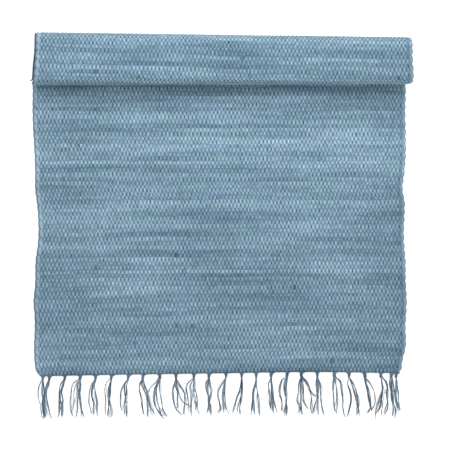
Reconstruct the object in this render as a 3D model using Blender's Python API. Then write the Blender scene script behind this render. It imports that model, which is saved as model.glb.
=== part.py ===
"""Hand-woven rag rug of dyed cotton strips, flat at its near end and rolled up at its far end.

The cloth is one piece: from the fringe it lies flat towards +Y, then curls up and back over itself
in a loose roll. The fringe is the warp's ends, knotted in groups along a narrow strip of the hem.
Metres, +Z up, origin on the floor under the middle of the rug's outer box.
"""

import math
import random
from collections import namedtuple

import bmesh
import bpy
import numpy as np

MM = 0.001

# The cloth, as woven. Along is measured from the hem, share from the left edge (0) to the right (1).
CLOTH_WIDTH = 0.600
CLOTH_LENGTH = 1.200
CLOTH_THICK = 0.004
PICK = 0.0067  # from one weft strip to the next
RIB_RISE = 0.0007  # from the groove between two picks to the crown of a pick
COLUMNS = 4  # panels across the width
EDGE_BULGE = 0.0012  # a selvedge's middle stands out this far past its two faces
LEFT_LOOP = 0.0009  # how far the weft stands out where it turns round at every second pick
RIGHT_LOOP = 0.0018
CORNER_RADIUS = 0.0105
CORNER_ROWS = (0.0, 0.0012, 0.0034)  # the first rows of points, measured from where the cloth starts

# The roll. Its outer turn is flatter and wider at the left end than at the right.
ROLL_TURNS = 4.5
SLUMP = 0.12  # it has sagged from an oval towards a rounded oblong: its shoulders stand out by this share
TURN_STEP = 0.0005  # over which the cloth's direction is taken
FACET_SAG = 0.00015  # how far a facet of an inner turn may cut inside the true curve
SPARE_TURNS = 0.3  # the spiral is walked this far past ROLL_TURNS, for the end that is wound tighter
WALK_STEPS = 1200
SHOWN_TURNS = (0.05, 0.92)  # the stretch of the outer turn whose ribs show
HIDDEN_BY_ROLL = 0.020  # the flat part's ribs end this far short of where the roll rests
RollEnd = namedtuple("RollEnd", "share axis half_depth half_height")
ROLL_ENDS = (
    RollEnd(share=0.0, axis=0.5032, half_depth=0.0456, half_height=0.0365),
    RollEnd(share=1.0, axis=0.5002, half_depth=0.0399, half_height=0.0370),
)

# How far each selvedge lies inside its straight line, in millimetres, along the flat part.
FlatEdge = namedtuple("FlatEdge", "along left right")
FLAT_EDGES = (
    FlatEdge(0, 7.2, 7.6),
    FlatEdge(20, 3.8, 5.9),
    FlatEdge(40, 2.6, 1.0),
    FlatEdge(80, 3.7, 0.9),
    FlatEdge(98, 3.4, -0.3),
    FlatEdge(115, 1.7, -0.9),
    FlatEdge(148, 4.3, 0.6),
    FlatEdge(187, 5.2, 1.2),
    FlatEdge(210, 8.6, 3.2),
    FlatEdge(258, 8.8, 2.6),
    FlatEdge(277, 7.1, 2.2),
    FlatEdge(297, 4.5, 5.8),
    FlatEdge(320, 4.3, 3.3),
    FlatEdge(345, 3.7, 0.9),
    FlatEdge(394, 1.0, 0.8),
    FlatEdge(419, 0.1, 1.5),
    FlatEdge(450, 0.3, 0.8),
    FlatEdge(500, 1.0, 1.5),
)

# The same along the roll, by turns from where it leaves the floor. It runs askew to the right.
RolledEdge = namedtuple("RolledEdge", "turns left right")
ROLLED_EDGES = (
    RolledEdge(0.00, 1.0, 1.5),
    RolledEdge(0.24, 7.6, -1.6),
    RolledEdge(0.34, 8.7, -3.7),
    RolledEdge(0.50, 9.3, -3.9),
    RolledEdge(0.57, 7.8, -5.6),
    RolledEdge(0.64, 6.0, -5.7),
    RolledEdge(0.76, 2.6, -0.5),
    RolledEdge(0.86, 3.0, 1.0),
    RolledEdge(1.25, 11.0, 0.5),
    RolledEdge(1.50, 11.4, 0.0),
    RolledEdge(1.75, 6.4, 1.5),
    RolledEdge(2.25, 9.0, 1.0),
    RolledEdge(ROLL_TURNS, 9.0, 1.0),
)

# How far the hem lies past its straight line towards the fringe, at the ends of the panels.
HEM_OUT_MM = (3.6, 0.8, -1.3, -3.4, -1.4)
HEM_FADE = 0.300  # the hem's wave has gone this far up the cloth

# The fringe.
HEM_STRIP = 0.004  # depth of the strip of hem that carries the fringe
STRIP_TOP = 0.0036
STRIP_END_OUT = 0.0008  # the strip runs on this far past the outermost knots
GAP = 0.0003  # between the strip and the rest of the cloth
FRINGE_LENGTH = 0.0697  # from the hem to the longest tip
CUT_UNEVEN = 0.009  # and how much shorter the shortest thread is
THREAD_WIDE = 0.0011
THREAD_HIGH = 0.0012
THREAD_BENDS = 5
NECK_PITCH = 0.00145  # from one thread to the next where they leave the hem
FAN_AT_KNOT = 0.62  # how wide a tassel's fan is just past its knot, as a share of its tips' fan
LEAST_PITCH = 0.00135  # threads past the knot stay this far apart, which leaves a gap between them

# Each knot's sections: out from the hem, thread to thread, top, and how far to the right it sits.
KnotSection = namedtuple("KnotSection", "out pitch top aside")
KNOT = (
    KnotSection(out=0.0022, pitch=0.00112, top=0.0032, aside=0.0002),
    KnotSection(out=0.0044, pitch=0.00122, top=0.0046, aside=0.0006),
    KnotSection(out=0.0066, pitch=0.00100, top=0.0026, aside=0.0),
)

# In millimetres: where a tassel is tied, how far its tips lean and its middle bows to the right,
# and how far its outer tips stand apart.
Tassel = namedtuple("Tassel", "tied lean bow fan threads")
TASSELS = (
    Tassel(-283.6, -5.0, -4.0, 7.0, 4),
    Tassel(-273.9, 1.0, -2.5, 6.5, 4),
    Tassel(-248.9, -7.0, -4.0, 8.0, 6),
    Tassel(-224.2, -4.0, -4.5, 12.0, 6),
    Tassel(-199.7, -1.5, -3.0, 9.0, 6),
    Tassel(-172.9, -4.5, -4.0, 9.0, 6),
    Tassel(-145.8, -5.8, -4.0, 8.0, 6),
    Tassel(-122.1, 8.5, -3.5, 12.0, 6),
    Tassel(-95.8, 6.0, -6.0, 10.0, 6),
    Tassel(-69.4, 6.0, 0.0, 14.0, 6),
    Tassel(-40.6, -1.0, -2.0, 12.0, 6),
    Tassel(-15.8, 0.5, 0.5, 8.0, 6),
    Tassel(11.5, -3.5, -4.5, 13.0, 6),
    Tassel(36.9, -8.0, -1.0, 10.0, 6),
    Tassel(60.2, -1.5, -1.5, 10.0, 6),
    Tassel(84.7, 3.0, -2.5, 8.0, 6),
    Tassel(110.5, -5.5, -4.0, 9.0, 6),
    Tassel(133.1, 4.0, 1.0, 15.0, 6),
    Tassel(158.6, 1.5, 0.0, 10.0, 6),
    Tassel(186.3, 6.5, 1.5, 12.0, 6),
    Tassel(209.5, 8.0, 3.0, 13.0, 6),
    Tassel(234.5, 8.5, 4.0, 9.0, 6),
    Tassel(260.5, 0.0, 4.0, 11.0, 6),
    Tassel(279.0, 1.5, -1.0, 6.5, 4),
    Tassel(286.3, 7.5, 1.0, 6.5, 4),
)


def smooth_through(xs, ys, x):
    """Reads, at x, a smooth curve that passes through the points (xs, ys)."""
    xs, ys = np.array(xs, float), np.array(ys, float)
    x = np.clip(x, xs[0], xs[-1])
    slopes = np.gradient(ys, xs)
    k = np.clip(np.searchsorted(xs, x) - 1, 0, len(xs) - 2)
    span = xs[k + 1] - xs[k]
    t = (x - xs[k]) / span
    ends = (1 + 2 * t) * (1 - t) ** 2 * ys[k] + t * t * (3 - 2 * t) * ys[k + 1]
    leans = t * (1 - t) ** 2 * slopes[k] + t * t * (t - 1) * slopes[k + 1]
    return ends + leans * span


def roll_end_at(share):
    """The outer turn's sizes at this share of the width, between those of the two ends."""
    left, right = ROLL_ENDS
    mix = [a + (b - a) * share for a, b in zip(left[1:], right[1:])]
    return RollEnd(share, *mix)


def winding(share):
    """The roll here: its outer radius on the cloth's middle, both ways and on average, and its pitch.

    The pitch is what lets ROLL_TURNS turns hold the rest of the cloth's length."""
    end = roll_end_at(share)
    deep = end.half_depth - CLOTH_THICK / 2
    high = end.half_height - CLOTH_THICK / 2
    mean = (deep + high) / 2
    rolled = (CLOTH_LENGTH - end.axis) / (1 + SLUMP / 2)
    pitch = 2 * (mean - rolled / (2 * math.pi * ROLL_TURNS)) / ROLL_TURNS
    return end.axis, deep / mean, high / mean, mean, pitch


def wound(share, turns):
    """How far the cloth's middle lies behind the roll's axis, and below its middle, at these turns."""
    _, deep, high, mean, pitch = winding(share)
    angle = 2 * math.pi * turns
    radius = (mean - pitch * turns) * (1 + SLUMP * np.sin(2 * angle) ** 2)
    return deep * radius * np.sin(angle), high * radius * np.cos(angle)


def turns_at(share, along):
    """How many turns the cloth has made, found by walking the spiral until its length is used up."""
    turns = np.linspace(0, ROLL_TURNS + SPARE_TURNS, WALK_STEPS)
    behind, below = wound(share, turns)
    walked = np.concatenate([[0.0], np.cumsum(np.hypot(np.diff(behind), np.diff(below)))])
    return float(np.interp(along - winding(share)[0], walked, turns))


def hem_wave(share, along):
    """How far the hem's wave moves the cloth towards the fringe, in metres."""
    panels = np.linspace(0, 1, COLUMNS + 1)
    return float(np.interp(share, panels, HEM_OUT_MM)) * MM * max(0.0, 1 - along / HEM_FADE)


def middle_of_cloth(share, along):
    """The cloth's mid-surface as (y, z), and its face's direction there as (y, z)."""
    axis, _, high, mean, _ = winding(share)
    if along <= axis:
        return (along - hem_wave(share, along), CLOTH_THICK / 2), (0.0, 1.0)
    turns = turns_at(share, along)
    behind, below = wound(share, turns)
    ahead, before = wound(share, turns + TURN_STEP), wound(share, turns - TURN_STEP)
    run_y, run_z = ahead[0] - before[0], before[1] - ahead[1]
    run = math.hypot(run_y, run_z)
    return (axis + behind, CLOTH_THICK / 2 + high * mean - below), (-run_z / run, run_y / run)


def corner_cut(along):
    """How far a rounded hem corner draws the selvedge in."""
    short = max(0.0, CORNER_RADIUS - along)
    return CORNER_RADIUS - math.sqrt(CORNER_RADIUS**2 - short**2)


def edges_at(along):
    """The left and right selvedge's x, without the loops of weft."""
    turns = turns_at(0.5, along)
    rows, at = (ROLLED_EDGES, turns) if turns > 0 else (FLAT_EDGES, along / MM)
    places = [row[0] for row in rows]
    left = float(smooth_through(places, [row.left for row in rows], at)) * MM
    right = float(smooth_through(places, [row.right for row in rows], at)) * MM
    half = CLOTH_WIDTH / 2 - corner_cut(along)
    return left - half, half - right


def stations():
    """The cloth's rows of points, as (distance from the hem, 1 on a pick's crown or -1 in a groove).

    The inner turns are plain, with rows close enough together to keep them clear of each other."""
    _, _, _, mean, pitch = winding(0.5)
    rows = [(HEM_STRIP + GAP + out, 0) for out in CORNER_ROWS]
    half_picks = 3  # the first rib's crown is a pick and a half up the cloth
    while turns_at(0.5, half_picks * PICK / 2) < 1:
        rows.append((half_picks * PICK / 2, 1 if half_picks % 2 else -1))
        half_picks += 1
    along = half_picks * PICK / 2
    while along < CLOTH_LENGTH - PICK / 2:
        rows.append((along, 0))
        radius = mean - pitch * turns_at(0.5, along)
        along += math.sqrt(8 * radius * FACET_SAG)
    rows.append((CLOTH_LENGTH, 0))
    return rows


def rib_rises(along, crest):
    """How far a rib lifts the upper and the lower face. The roll carries the lower face outside."""
    rise = crest * RIB_RISE / 2
    flat_shows = along < ROLL_ENDS[0].axis - HIDDEN_BY_ROLL
    roll_shows = SHOWN_TURNS[0] < turns_at(0.5, along) < SHOWN_TURNS[1]
    return (rise if flat_shows else 0), (rise if roll_shows else 0)


def loops_at(along, crest):
    """How far the weft's loops stand out at the left and right selvedge, a pick apart."""
    if not crest:
        return 0, 0
    swing = math.pi * along / (2 * PICK)
    return LEFT_LOOP * abs(math.cos(swing)), RIGHT_LOOP * abs(math.sin(swing))


def ring_at(along, crest):
    """One section across the cloth: its upper face, right selvedge, lower face and left selvedge."""
    left, right = edges_at(along)
    left_loop, right_loop = loops_at(along, crest)
    left, right = left - left_loop, right + right_loop
    upper_rise, lower_rise = rib_rises(along, crest)
    upper_off, lower_off = CLOTH_THICK / 2 + upper_rise, CLOTH_THICK / 2 + lower_rise
    upper, lower, edges = [], [], []
    for column in range(COLUMNS + 1):
        share = column / COLUMNS
        x = left + EDGE_BULGE + (right - left - 2 * EDGE_BULGE) * share
        (y, z), (face_y, face_z) = middle_of_cloth(share, along)
        upper.append((x, y + face_y * upper_off, z + face_z * upper_off))
        lower.append((x, y - face_y * lower_off, z - face_z * lower_off))
        if column in (0, COLUMNS):
            edges.append((x - EDGE_BULGE if column == 0 else x + EDGE_BULGE, y, z))
    return upper + [edges[1]] + lower[::-1] + [edges[0]]


def skin(bm, rings):
    """Faces from each ring to the next. Returns the rings' points."""
    verts = [[bm.verts.new(point) for point in ring] for ring in rings]
    for one, two in zip(verts, verts[1:]):
        for k in range(len(one)):
            bm.faces.new((one[k - 1], one[k], two[k], two[k - 1]))
    return verts


def close_cloth_end(bm, ring):
    """Closes an end of the cloth with a panel for each column, so that it follows the hem's wave."""
    upper, lower = ring[: COLUMNS + 1], ring[COLUMNS + 2 : -1][::-1]
    for k in range(COLUMNS):
        bm.faces.new((upper[k], upper[k + 1], lower[k + 1], lower[k]))
    bm.faces.new((upper[-1], ring[COLUMNS + 1], lower[-1]))
    bm.faces.new((upper[0], lower[0], ring[-1]))


def woven_cloth(bm):
    verts = skin(bm, [ring_at(along, crest) for along, crest in stations()])
    close_cloth_end(bm, verts[0])
    close_cloth_end(bm, verts[-1])


def strip_stations():
    """The strip's places in x: its rounded ends, and a column for each thread at each tassel.

    Each is (x at the back, x at the front, tassel), and a tassel runs on from this place to the next."""
    left, right = edges_at(HEM_STRIP)
    first = TASSELS[0].tied * MM - NECK_PITCH * TASSELS[0].threads / 2 - STRIP_END_OUT
    last = TASSELS[-1].tied * MM + NECK_PITCH * TASSELS[-1].threads / 2 + STRIP_END_OUT
    places = [(left, first, None)]
    for tassel in TASSELS:
        for k in range(tassel.threads + 1):
            x = tassel.tied * MM + (k - tassel.threads / 2) * NECK_PITCH
            places.append((x, x, tassel if k < tassel.threads else None))
    places.append((right, last, None))
    return places


def strip_of_hem(bm):
    """The strip that the fringe hangs from. Returns the front faces of each tassel, left to right."""
    left, right = edges_at(HEM_STRIP)
    places = strip_stations()
    rings = []
    for back, front, _ in places:
        shares = [(x - left) / (right - left) for x in (back, front)]
        back_y = HEM_STRIP - hem_wave(shares[0], HEM_STRIP)
        front_y = -hem_wave(shares[1], 0)
        rings.append(
            [(back, back_y, 0), (back, back_y, STRIP_TOP), (front, front_y, STRIP_TOP), (front, front_y, 0)]
        )
    verts = skin(bm, rings)
    bm.faces.new(verts[0])
    bm.faces.new(verts[-1])
    bm.faces.ensure_lookup_table()
    sides = len(rings[0])
    roots = {tassel: [] for tassel in TASSELS}
    for k, (_, _, tassel) in enumerate(places):
        if tassel:
            roots[tassel].append(bm.faces[sides * k + sides - 1])  # the last of its sides is the front
    return roots


def pull_knot(bm, tassel, faces):
    """Draws a tassel's threads out of the hem together, as its neck and knot. Returns their new faces."""
    hem_y = faces[0].verts[0].co.y
    for section in KNOT:
        made = bmesh.ops.extrude_face_region(bm, geom=faces)["geom"]
        bmesh.ops.delete(bm, geom=faces, context="FACES")
        faces = [f for f in made if isinstance(f, bmesh.types.BMFace)]
        verts = {v for f in faces for v in f.verts}
        columns = sorted({round(v.co.x, 7) for v in verts})
        top = max(v.co.z for v in verts)
        for v in verts:
            column = columns.index(round(v.co.x, 7)) - tassel.threads / 2
            x = tassel.tied * MM + section.aside + column * section.pitch
            v.co = (x, hem_y - section.out, section.top if v.co.z > top / 2 else 0)
    return sorted(faces, key=lambda f: f.calc_center_median().x)


def pull_thread(bm, tassel, k, face, length):
    """Draws one thread of a tassel out along the floor, clear of its neighbours."""
    start = face.calc_center_median()
    off_middle = k - (tassel.threads - 1) / 2
    last_pitch = tassel.fan * MM / (tassel.threads - 1)
    for bend in range(1, THREAD_BENDS + 1):
        run = bend / THREAD_BENDS
        pitch = max(last_pitch * (FAN_AT_KNOT + (1 - FAN_AT_KNOT) * run), LEAST_PITCH)
        middle = tassel.lean * MM * run + tassel.bow * MM * math.sin(math.pi * run)
        x, y = tassel.tied * MM + middle + off_middle * pitch, start.y - length * run
        centre = face.calc_center_median()
        face = bmesh.ops.extrude_discrete_faces(bm, faces=[face])["faces"][0]
        for v in face.verts:
            side = THREAD_WIDE / 2 if v.co.x > centre.x else -THREAD_WIDE / 2
            v.co = (x + side, y, THREAD_HIGH if v.co.z > centre.z else 0)


def knotted_fringe(bm):
    chance = random.Random(25)
    roots = strip_of_hem(bm)
    for tassel in TASSELS:
        hem_y = roots[tassel][0].verts[0].co.y
        threads = pull_knot(bm, tassel, roots[tassel])
        for k, face in enumerate(threads):
            tip_y = -FRINGE_LENGTH + chance.uniform(0, CUT_UNEVEN)
            pull_thread(bm, tassel, k, face, hem_y - KNOT[-1].out - tip_y)


def cotton(name, srgb_hex, roughness):
    """A matt cotton finish of this colour."""
    channels = [int(srgb_hex[k : k + 2], 16) / 255 for k in (0, 2, 4)]
    linear = [c / 12.92 if c <= 0.04045 else ((c + 0.055) / 1.055) ** 2.4 for c in channels]
    material = bpy.data.materials.new(name)
    material.use_nodes = True
    shader = material.node_tree.nodes["Principled BSDF"]
    shader.inputs["Base Color"].default_value = (*linear, 1)
    shader.inputs["Roughness"].default_value = roughness
    shader.inputs["Metallic"].default_value = 0
    return material


def add_piece(name, build, material):
    bm = bmesh.new()
    build(bm)
    bmesh.ops.recalc_face_normals(bm, faces=bm.faces)
    mesh = bpy.data.meshes.new(name)
    bm.to_mesh(mesh)
    bm.free()
    mesh.shade_smooth()
    mesh.set_sharp_from_angle(angle=math.radians(40))
    mesh.materials.append(material)
    piece = bpy.data.objects.new(name, mesh)
    bpy.context.scene.collection.objects.link(piece)
    return piece


def centre_on_origin(pieces):
    """Moves the pieces' points together, so that the middle of their outer box is at x = y = 0."""
    points = np.array([v.co for piece in pieces for v in piece.data.vertices])
    middle = (points.min(axis=0) + points.max(axis=0)) / 2
    for piece in pieces:
        for v in piece.data.vertices:
            v.co.x -= middle[0]
            v.co.y -= middle[1]


def main():
    for obj in list(bpy.data.objects):
        bpy.data.objects.remove(obj)
    rug = add_piece("rug", woven_cloth, cotton("Woven cotton rag strip", "7C98AB", 0.95))
    fringe = add_piece("fringe", knotted_fringe, cotton("Cotton warp thread", "66788A", 0.9))
    centre_on_origin([rug, fringe])


main()
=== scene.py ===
"""Looks of a hand-woven cotton rag rug, flat at its fringed end and rolled up at its far end.

The cloth is a plain weave of dyed rag strips over pairs of warp threads. It is one length of cloth, made
here in bands that meet in the grooves between picks. The fringe is the warp's twisted ends, knotted.
Metres, +Z up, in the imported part's frame.
"""

import math
from collections import namedtuple
from functools import partial

import bmesh
import bpy
import numpy as np
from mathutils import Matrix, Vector


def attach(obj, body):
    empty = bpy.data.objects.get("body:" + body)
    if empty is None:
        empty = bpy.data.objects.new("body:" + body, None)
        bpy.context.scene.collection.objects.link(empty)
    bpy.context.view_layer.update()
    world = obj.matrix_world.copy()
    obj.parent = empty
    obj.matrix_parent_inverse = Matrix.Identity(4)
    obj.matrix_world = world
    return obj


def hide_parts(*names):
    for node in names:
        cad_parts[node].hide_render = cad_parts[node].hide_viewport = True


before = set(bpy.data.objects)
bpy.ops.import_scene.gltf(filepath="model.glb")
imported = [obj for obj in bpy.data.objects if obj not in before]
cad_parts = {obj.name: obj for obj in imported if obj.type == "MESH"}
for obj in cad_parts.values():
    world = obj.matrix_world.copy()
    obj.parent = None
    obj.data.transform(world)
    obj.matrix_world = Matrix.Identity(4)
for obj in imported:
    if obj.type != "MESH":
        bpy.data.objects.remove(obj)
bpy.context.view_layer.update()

MM = 0.001

# The cloth, as woven: s counts warp pairs from the left selvedge, t counts picks from the hem.
CLOTH_WIDTH = 0.600
CLOTH_LENGTH = 1.200
CLOTH_THICK = 0.004
HEM_MIDDLE = (-0.00342, -0.23882)  # the middle of the hem's straight line, in the row frame
WARPS = 190
PICKS = 183
PICK_UNEVEN = 0.20  # strips are torn by hand, so a pick is up to this share deeper or shallower
PICK_SEED = 4
CORNER_RADIUS = 0.0105
CORNER_REACH = 0.024  # the warps this near a corner are drawn in with it
HEM_NOSE = 0.0022  # the cloth's two ends round off over this length
NOSE_BLUNT = 0.08  # and are cut off square at this share of it

# How picks and warps wander off their straight lines: how far, and over how many warps and picks.
Wander = namedtuple("Wander", "seed mm warps picks")
PICKS_WANDER = (
    Wander(seed=11, mm=1.2, warps=34, picks=7),
    Wander(seed=12, mm=0.7, warps=16, picks=1),
    Wander(seed=13, mm=0.45, warps=1.7, picks=1),
)
PICKS_SETTLE = (0.012, 0.020)  # the hem and the far end are straight, and the wandering grows over this
WARPS_WANDER = Wander(seed=14, mm=0.45, warps=1.6, picks=1.3)
WARPS_SETTLE = (0.012, 0.030)  # how far inside the selvedges the warps begin to wander, and do so fully

# Relief of the weave over the cloth's mean face.
WEFT_CROWN = 0.00065  # where the rag passes over a warp pair
HOLLOW = -0.00080  # where it dips under one
WARP_RISE = 0.00030  # the warp pair itself, in its hollow
RAG_FULL = 0.30  # a rag pass swells past its own half of the weave's cell by this much
RAG_ROUND = 0.6  # the power of a pass's rise: below 1, it is full
PICK_ROUND = 0.55  # the power of a pick's swell where it touches the next
PICK_ROUND_APART = 0.25  # more than that where the two part
GROOVE_SHUT = 0.35  # the groove between touching picks, as a share of the hollow's depth
GROOVE_SEED, GROOVE_WARPS = 23, 28
PASS_SEED, PASS_LIVELY = 21, 0.22  # how much higher or lower one pass lies than the next
PATCH_SEED, PATCH_LIVELY = 22, 0.25  # and one patch of cloth than the next
PATCH_WARPS, PATCH_PICKS = 9, 1.5
ON_LINE = 1e-6  # a point on the line between two picks is counted with the later one
IN_CELL = 0.01

# The selvedges: the weft's bare loops outside the first warp.
LEFT_BAND = 0.0050
RIGHT_BAND = 0.0024
LEFT_BAND_WARPS = LEFT_BAND / CLOTH_WIDTH * WARPS
RIGHT_BAND_WARPS = RIGHT_BAND / CLOTH_WIDTH * WARPS
BAND_STEP = 0.0010  # the weave gives way to the bare loops over this width
BARE_RISE = 0.0001
NOTCH_DEPTH = 0.0011  # between two loops, at the very edge
NOTCH_REACH = 0.8  # inwards, as a share of the band
BAND_GROOVE = 0.0006  # where the first warp pulls the weft down, beside the bare loops
BAND_GROOVE_WIDE = 0.0009
LEFT_LOOP = 0.0009
RIGHT_LOOP = 0.0021
LOOP_ROUND = 0.5  # the power of a loop's swell: below 1, it is full
LOOP_REACH = 0.0070  # the warps this near a selvedge swing with its loops
EDGE_ROUND = 0.0018
ON_FACE = 0.99  # past this lift a point lies on a face, and not on the edge between two

# The roll, as the part has it.
ROLL_TURNS = 4.5
SLUMP = 0.12  # the roll has sagged towards a rounded oblong: its shoulders stand out by this share
SPARE_TURNS = 0.3
WALK_STEPS = 1200
TURN_STEP = 0.0005
RollEnd = namedtuple("RollEnd", "axis half_depth half_height")
LEFT_END = RollEnd(axis=0.5032, half_depth=0.0456, half_height=0.0365)
RIGHT_END = RollEnd(axis=0.5002, half_depth=0.0399, half_height=0.0370)

# How far each selvedge lies inside its straight line, in millimetres, along the flat part.
FlatEdge = namedtuple("FlatEdge", "along left right")
FLAT_EDGES = (
    FlatEdge(0, 7.2, 7.6),
    FlatEdge(20, 3.8, 5.9),
    FlatEdge(40, 2.6, 1.0),
    FlatEdge(80, 3.7, 0.9),
    FlatEdge(98, 3.4, -0.3),
    FlatEdge(115, 1.7, -0.9),
    FlatEdge(148, 4.3, 0.6),
    FlatEdge(187, 5.2, 1.2),
    FlatEdge(210, 8.6, 3.2),
    FlatEdge(258, 8.8, 2.6),
    FlatEdge(277, 7.1, 2.2),
    FlatEdge(297, 4.5, 5.8),
    FlatEdge(320, 4.3, 3.3),
    FlatEdge(345, 3.7, 0.9),
    FlatEdge(394, 1.0, 0.8),
    FlatEdge(419, 0.1, 1.5),
    FlatEdge(450, 0.3, 0.8),
    FlatEdge(500, 1.0, 1.5),
)

# The same along the roll, by turns from where it leaves the floor.
RolledEdge = namedtuple("RolledEdge", "turns left right")
ROLLED_EDGES = (
    RolledEdge(0.00, 1.0, 1.5),
    RolledEdge(0.24, 9.2, -1.6),
    RolledEdge(0.34, 10.6, -3.7),
    RolledEdge(0.50, 11.0, -3.9),
    RolledEdge(0.57, 9.9, -5.6),
    RolledEdge(0.64, 8.0, -5.7),
    RolledEdge(0.76, 2.8, -0.5),
    RolledEdge(0.86, 3.0, 1.0),
    RolledEdge(1.25, 11.0, 0.5),
    RolledEdge(1.50, 11.4, 0.0),
    RolledEdge(1.75, 6.4, 1.5),
    RolledEdge(2.25, 9.0, 1.0),
    RolledEdge(ROLL_TURNS, 9.0, 1.0),
)

# How far the hem lies past its straight line towards the fringe, at even steps across.
HEM_OUT_MM = (3.6, 0.8, -1.3, -3.4, -1.4)
HEM_FADE = 0.300

# The left selvedge's first warp has worked loose along the roll's end: how far outside the cloth's edge
# it lies, in millimetres, by turns from where the roll leaves the floor.
LooseWarp = namedtuple("LooseWarp", "turns out")
LOOSE_WARP = (
    LooseWarp(0.25, 0.2),
    LooseWarp(0.29, 1.1),
    LooseWarp(0.36, 1.4),
    LooseWarp(0.41, 1.1),
    LooseWarp(0.49, 1.8),
    LooseWarp(0.53, 2.5),
    LooseWarp(0.60, 2.8),
    LooseWarp(0.64, 2.7),
)
LOOSE_RADIUS = 0.00105
LOOSE_RINGS = 48
LOOSE_END = (-0.0038, -0.0018, -0.0010)  # from where it leaves the cloth to its broken end
LOOSE_END_STEPS = (0.25, 0.50, 0.75, 1.00)

# The fringe: warp threads about 1.1 mm thick, knotted in tassels at the hem.
THREAD_RADIUS = (0.00050, 0.00062)
THREAD_SIDES = 5
THREAD_RINGS = 12
THREAD_SEED = 31
TWIST = 0.0048  # the length of one turn of a thread's two plies
NECK_WIDTH = 0.0085
KNOT_WIDTH = 0.0040
KNOT_HIGH = 0.0038
HEM_HOLD = 0.0030  # how far a thread reaches into the cloth
LIE_OVER = (0.0, 1.6, 0.8)  # how many radii higher each of three threads leaves its knot, in turn
SPREAD = 2.4  # threads side by side lie this many radii apart
SPREAD_TURN = 4.4  # and wind round each other by this many radians down their length
SPREAD_FROM = (0.05, 0.30)  # they part over this stretch of their length
STRAY_FROM = (0.10, 0.50)  # and stray over this one
STRAY_WAVES = 4.5
STRAY_SEED = 900
STRAY_ROWS = 300
CUT_UNEVEN = (-0.45, 0.30)  # how much of its last step a thread is cut short or left long by

# A bundle's whole threads, and the strands of the one in it that has come untwisted: their share of a
# thread's thickness, how far they stray in millimetres, and their tones from 0, darkest, to 1, washed out.
Strand = namedtuple("Strand", "thick stray tones")
WHOLE = Strand(thick=1, stray=0.7, tones=(0.1, 0.75))
UNTWISTED = Strand(thick=0.65, stray=2.2, tones=(0.6, 1.0))
UNTWISTED_STRANDS = 2

# A tube thins towards its end by this share, from this place along it.
Taper = namedtuple("Taper", "share start")
THREAD_TAPER = Taper(share=0.45, start=0.93)
LOOSE_TAPER = Taper(share=0.4, start=0.94)

# Loose fibres at each cut end.
FIBRES = 2
FIBRE_RADIUS = 0.00016
FIBRE_LENGTH = (0.0020, 0.0042)
FIBRE_RINGS = 4
FIBRE_SIDES = 3
FIBRE_ASTRAY = 0.7  # radians off the thread's own heading, at most
FIBRE_CURL = 0.8
FIBRE_TONES = (0.4, 0.9)

# The gathered neck of a tassel, in millimetres past the hem's edge, with its half width and half height.
NeckRing = namedtuple("NeckRing", "past_hem wide high")
NECK = (
    NeckRing(2.2, 5.4, 1.4),
    NeckRing(0.2, 5.0, 1.6),
    NeckRing(-1.4, 3.2, 1.5),
    NeckRing(-3.0, 2.0, 1.4),
    NeckRing(-4.6, 1.8, 1.5),
    NeckRing(-6.2, 1.5, 1.3),
    NeckRing(-8.0, 0.9, 0.9),
)
NECK_SEED = 33
NECK_SIDES = 8
NECK_UNEVEN = (0.85, 1.15)
NECK_LEAN = 0.35
NECK_TONES = (0.3, 0.5)
NECK_MIDDLE = 1.3  # its middle line lies at least this high, in millimetres

# The turn of thread that is drawn tight round a neck, in millimetres: how far below the hem it lies, how
# high its middle is, its radii across and up, how far it climbs, and its thread's radius.
KnotTurn = namedtuple("KnotTurn", "below middle wide high climb radius")
KNOT_TURN = KnotTurn(below=4.2, middle=1.7, wide=1.7, high=1.1, climb=1.8, radius=0.55)
KNOT_RINGS = 15
KNOT_SIDES = 6
KNOT_TURNS = 1.35
KNOT_START = (0.05, 0.15)
KNOT_TILT = (-1.2, 1.6)
KNOT_TONES = (0.2, 0.5)

# The hem's own two threads.
HEM_THREAD = 0.00062
HEM_THREADS_IN = (0.0002, 0.0015)  # how far each lies inside the hem's edge
HEM_THREADS_END = 0.012  # the share of the width that they leave bare at each side
HEM_THREADS_DRAWN = 0.0040  # and how far they are drawn in there
HEM_THREADS_ROUND = (0.0060, 0.0035)  # at a corner they turn inwards by this much, over this length
HEM_THREADS_HIGH = (2.1, 0.5, 1.15)  # height, rise from the first to the second, and wave, in millimetres
HEM_THREADS_TONE = 0.3

# The real creases of torn cotton are about 0.5 mm across, and the blotches of a dyed thread 1 to 2 mm
# long. Both are drawn coarser here, because at 1.6 mm a pixel the real ones wouldn't show.
FLUFF = 0.0020
THREAD_BLOTCH = 0.0060

# The photograph's scale at the floor, and the picture's point that the middle of the hem lies at.
PHOTO_PIXELS = 450
MM_PER_PIXEL = 1.613
HEM_PIXEL = (219.0, 373.8)

# The cloth's bands: the picks they span, the face that shows, and their rows and columns.
Band = namedtuple("Band", "name first last shows")
BANDS = (
    Band("cloth_hem", 0, 25, "upper"),
    Band("cloth_middle", 25, 50, "upper"),
    Band("cloth_far", 50, 75, "upper"),
    Band("cloth_roll", 75, 108, "lower"),
    Band("cloth_inner_turns", 108, PICKS, "neither"),
)
FACING = {"upper": 1, "lower": -1}  # which way the face that shows points
FINE = 3  # columns to a warp pair on a face that shows
ROWS = 4  # rows to a pick
COARSE_COLUMNS = 38
EDGE_STEPS = 7  # round a selvedge
MIDDLES_FROM = 0.012  # past this share of the width, a fine column lies on the middle of each warp
SHARP = math.radians(75)

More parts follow.
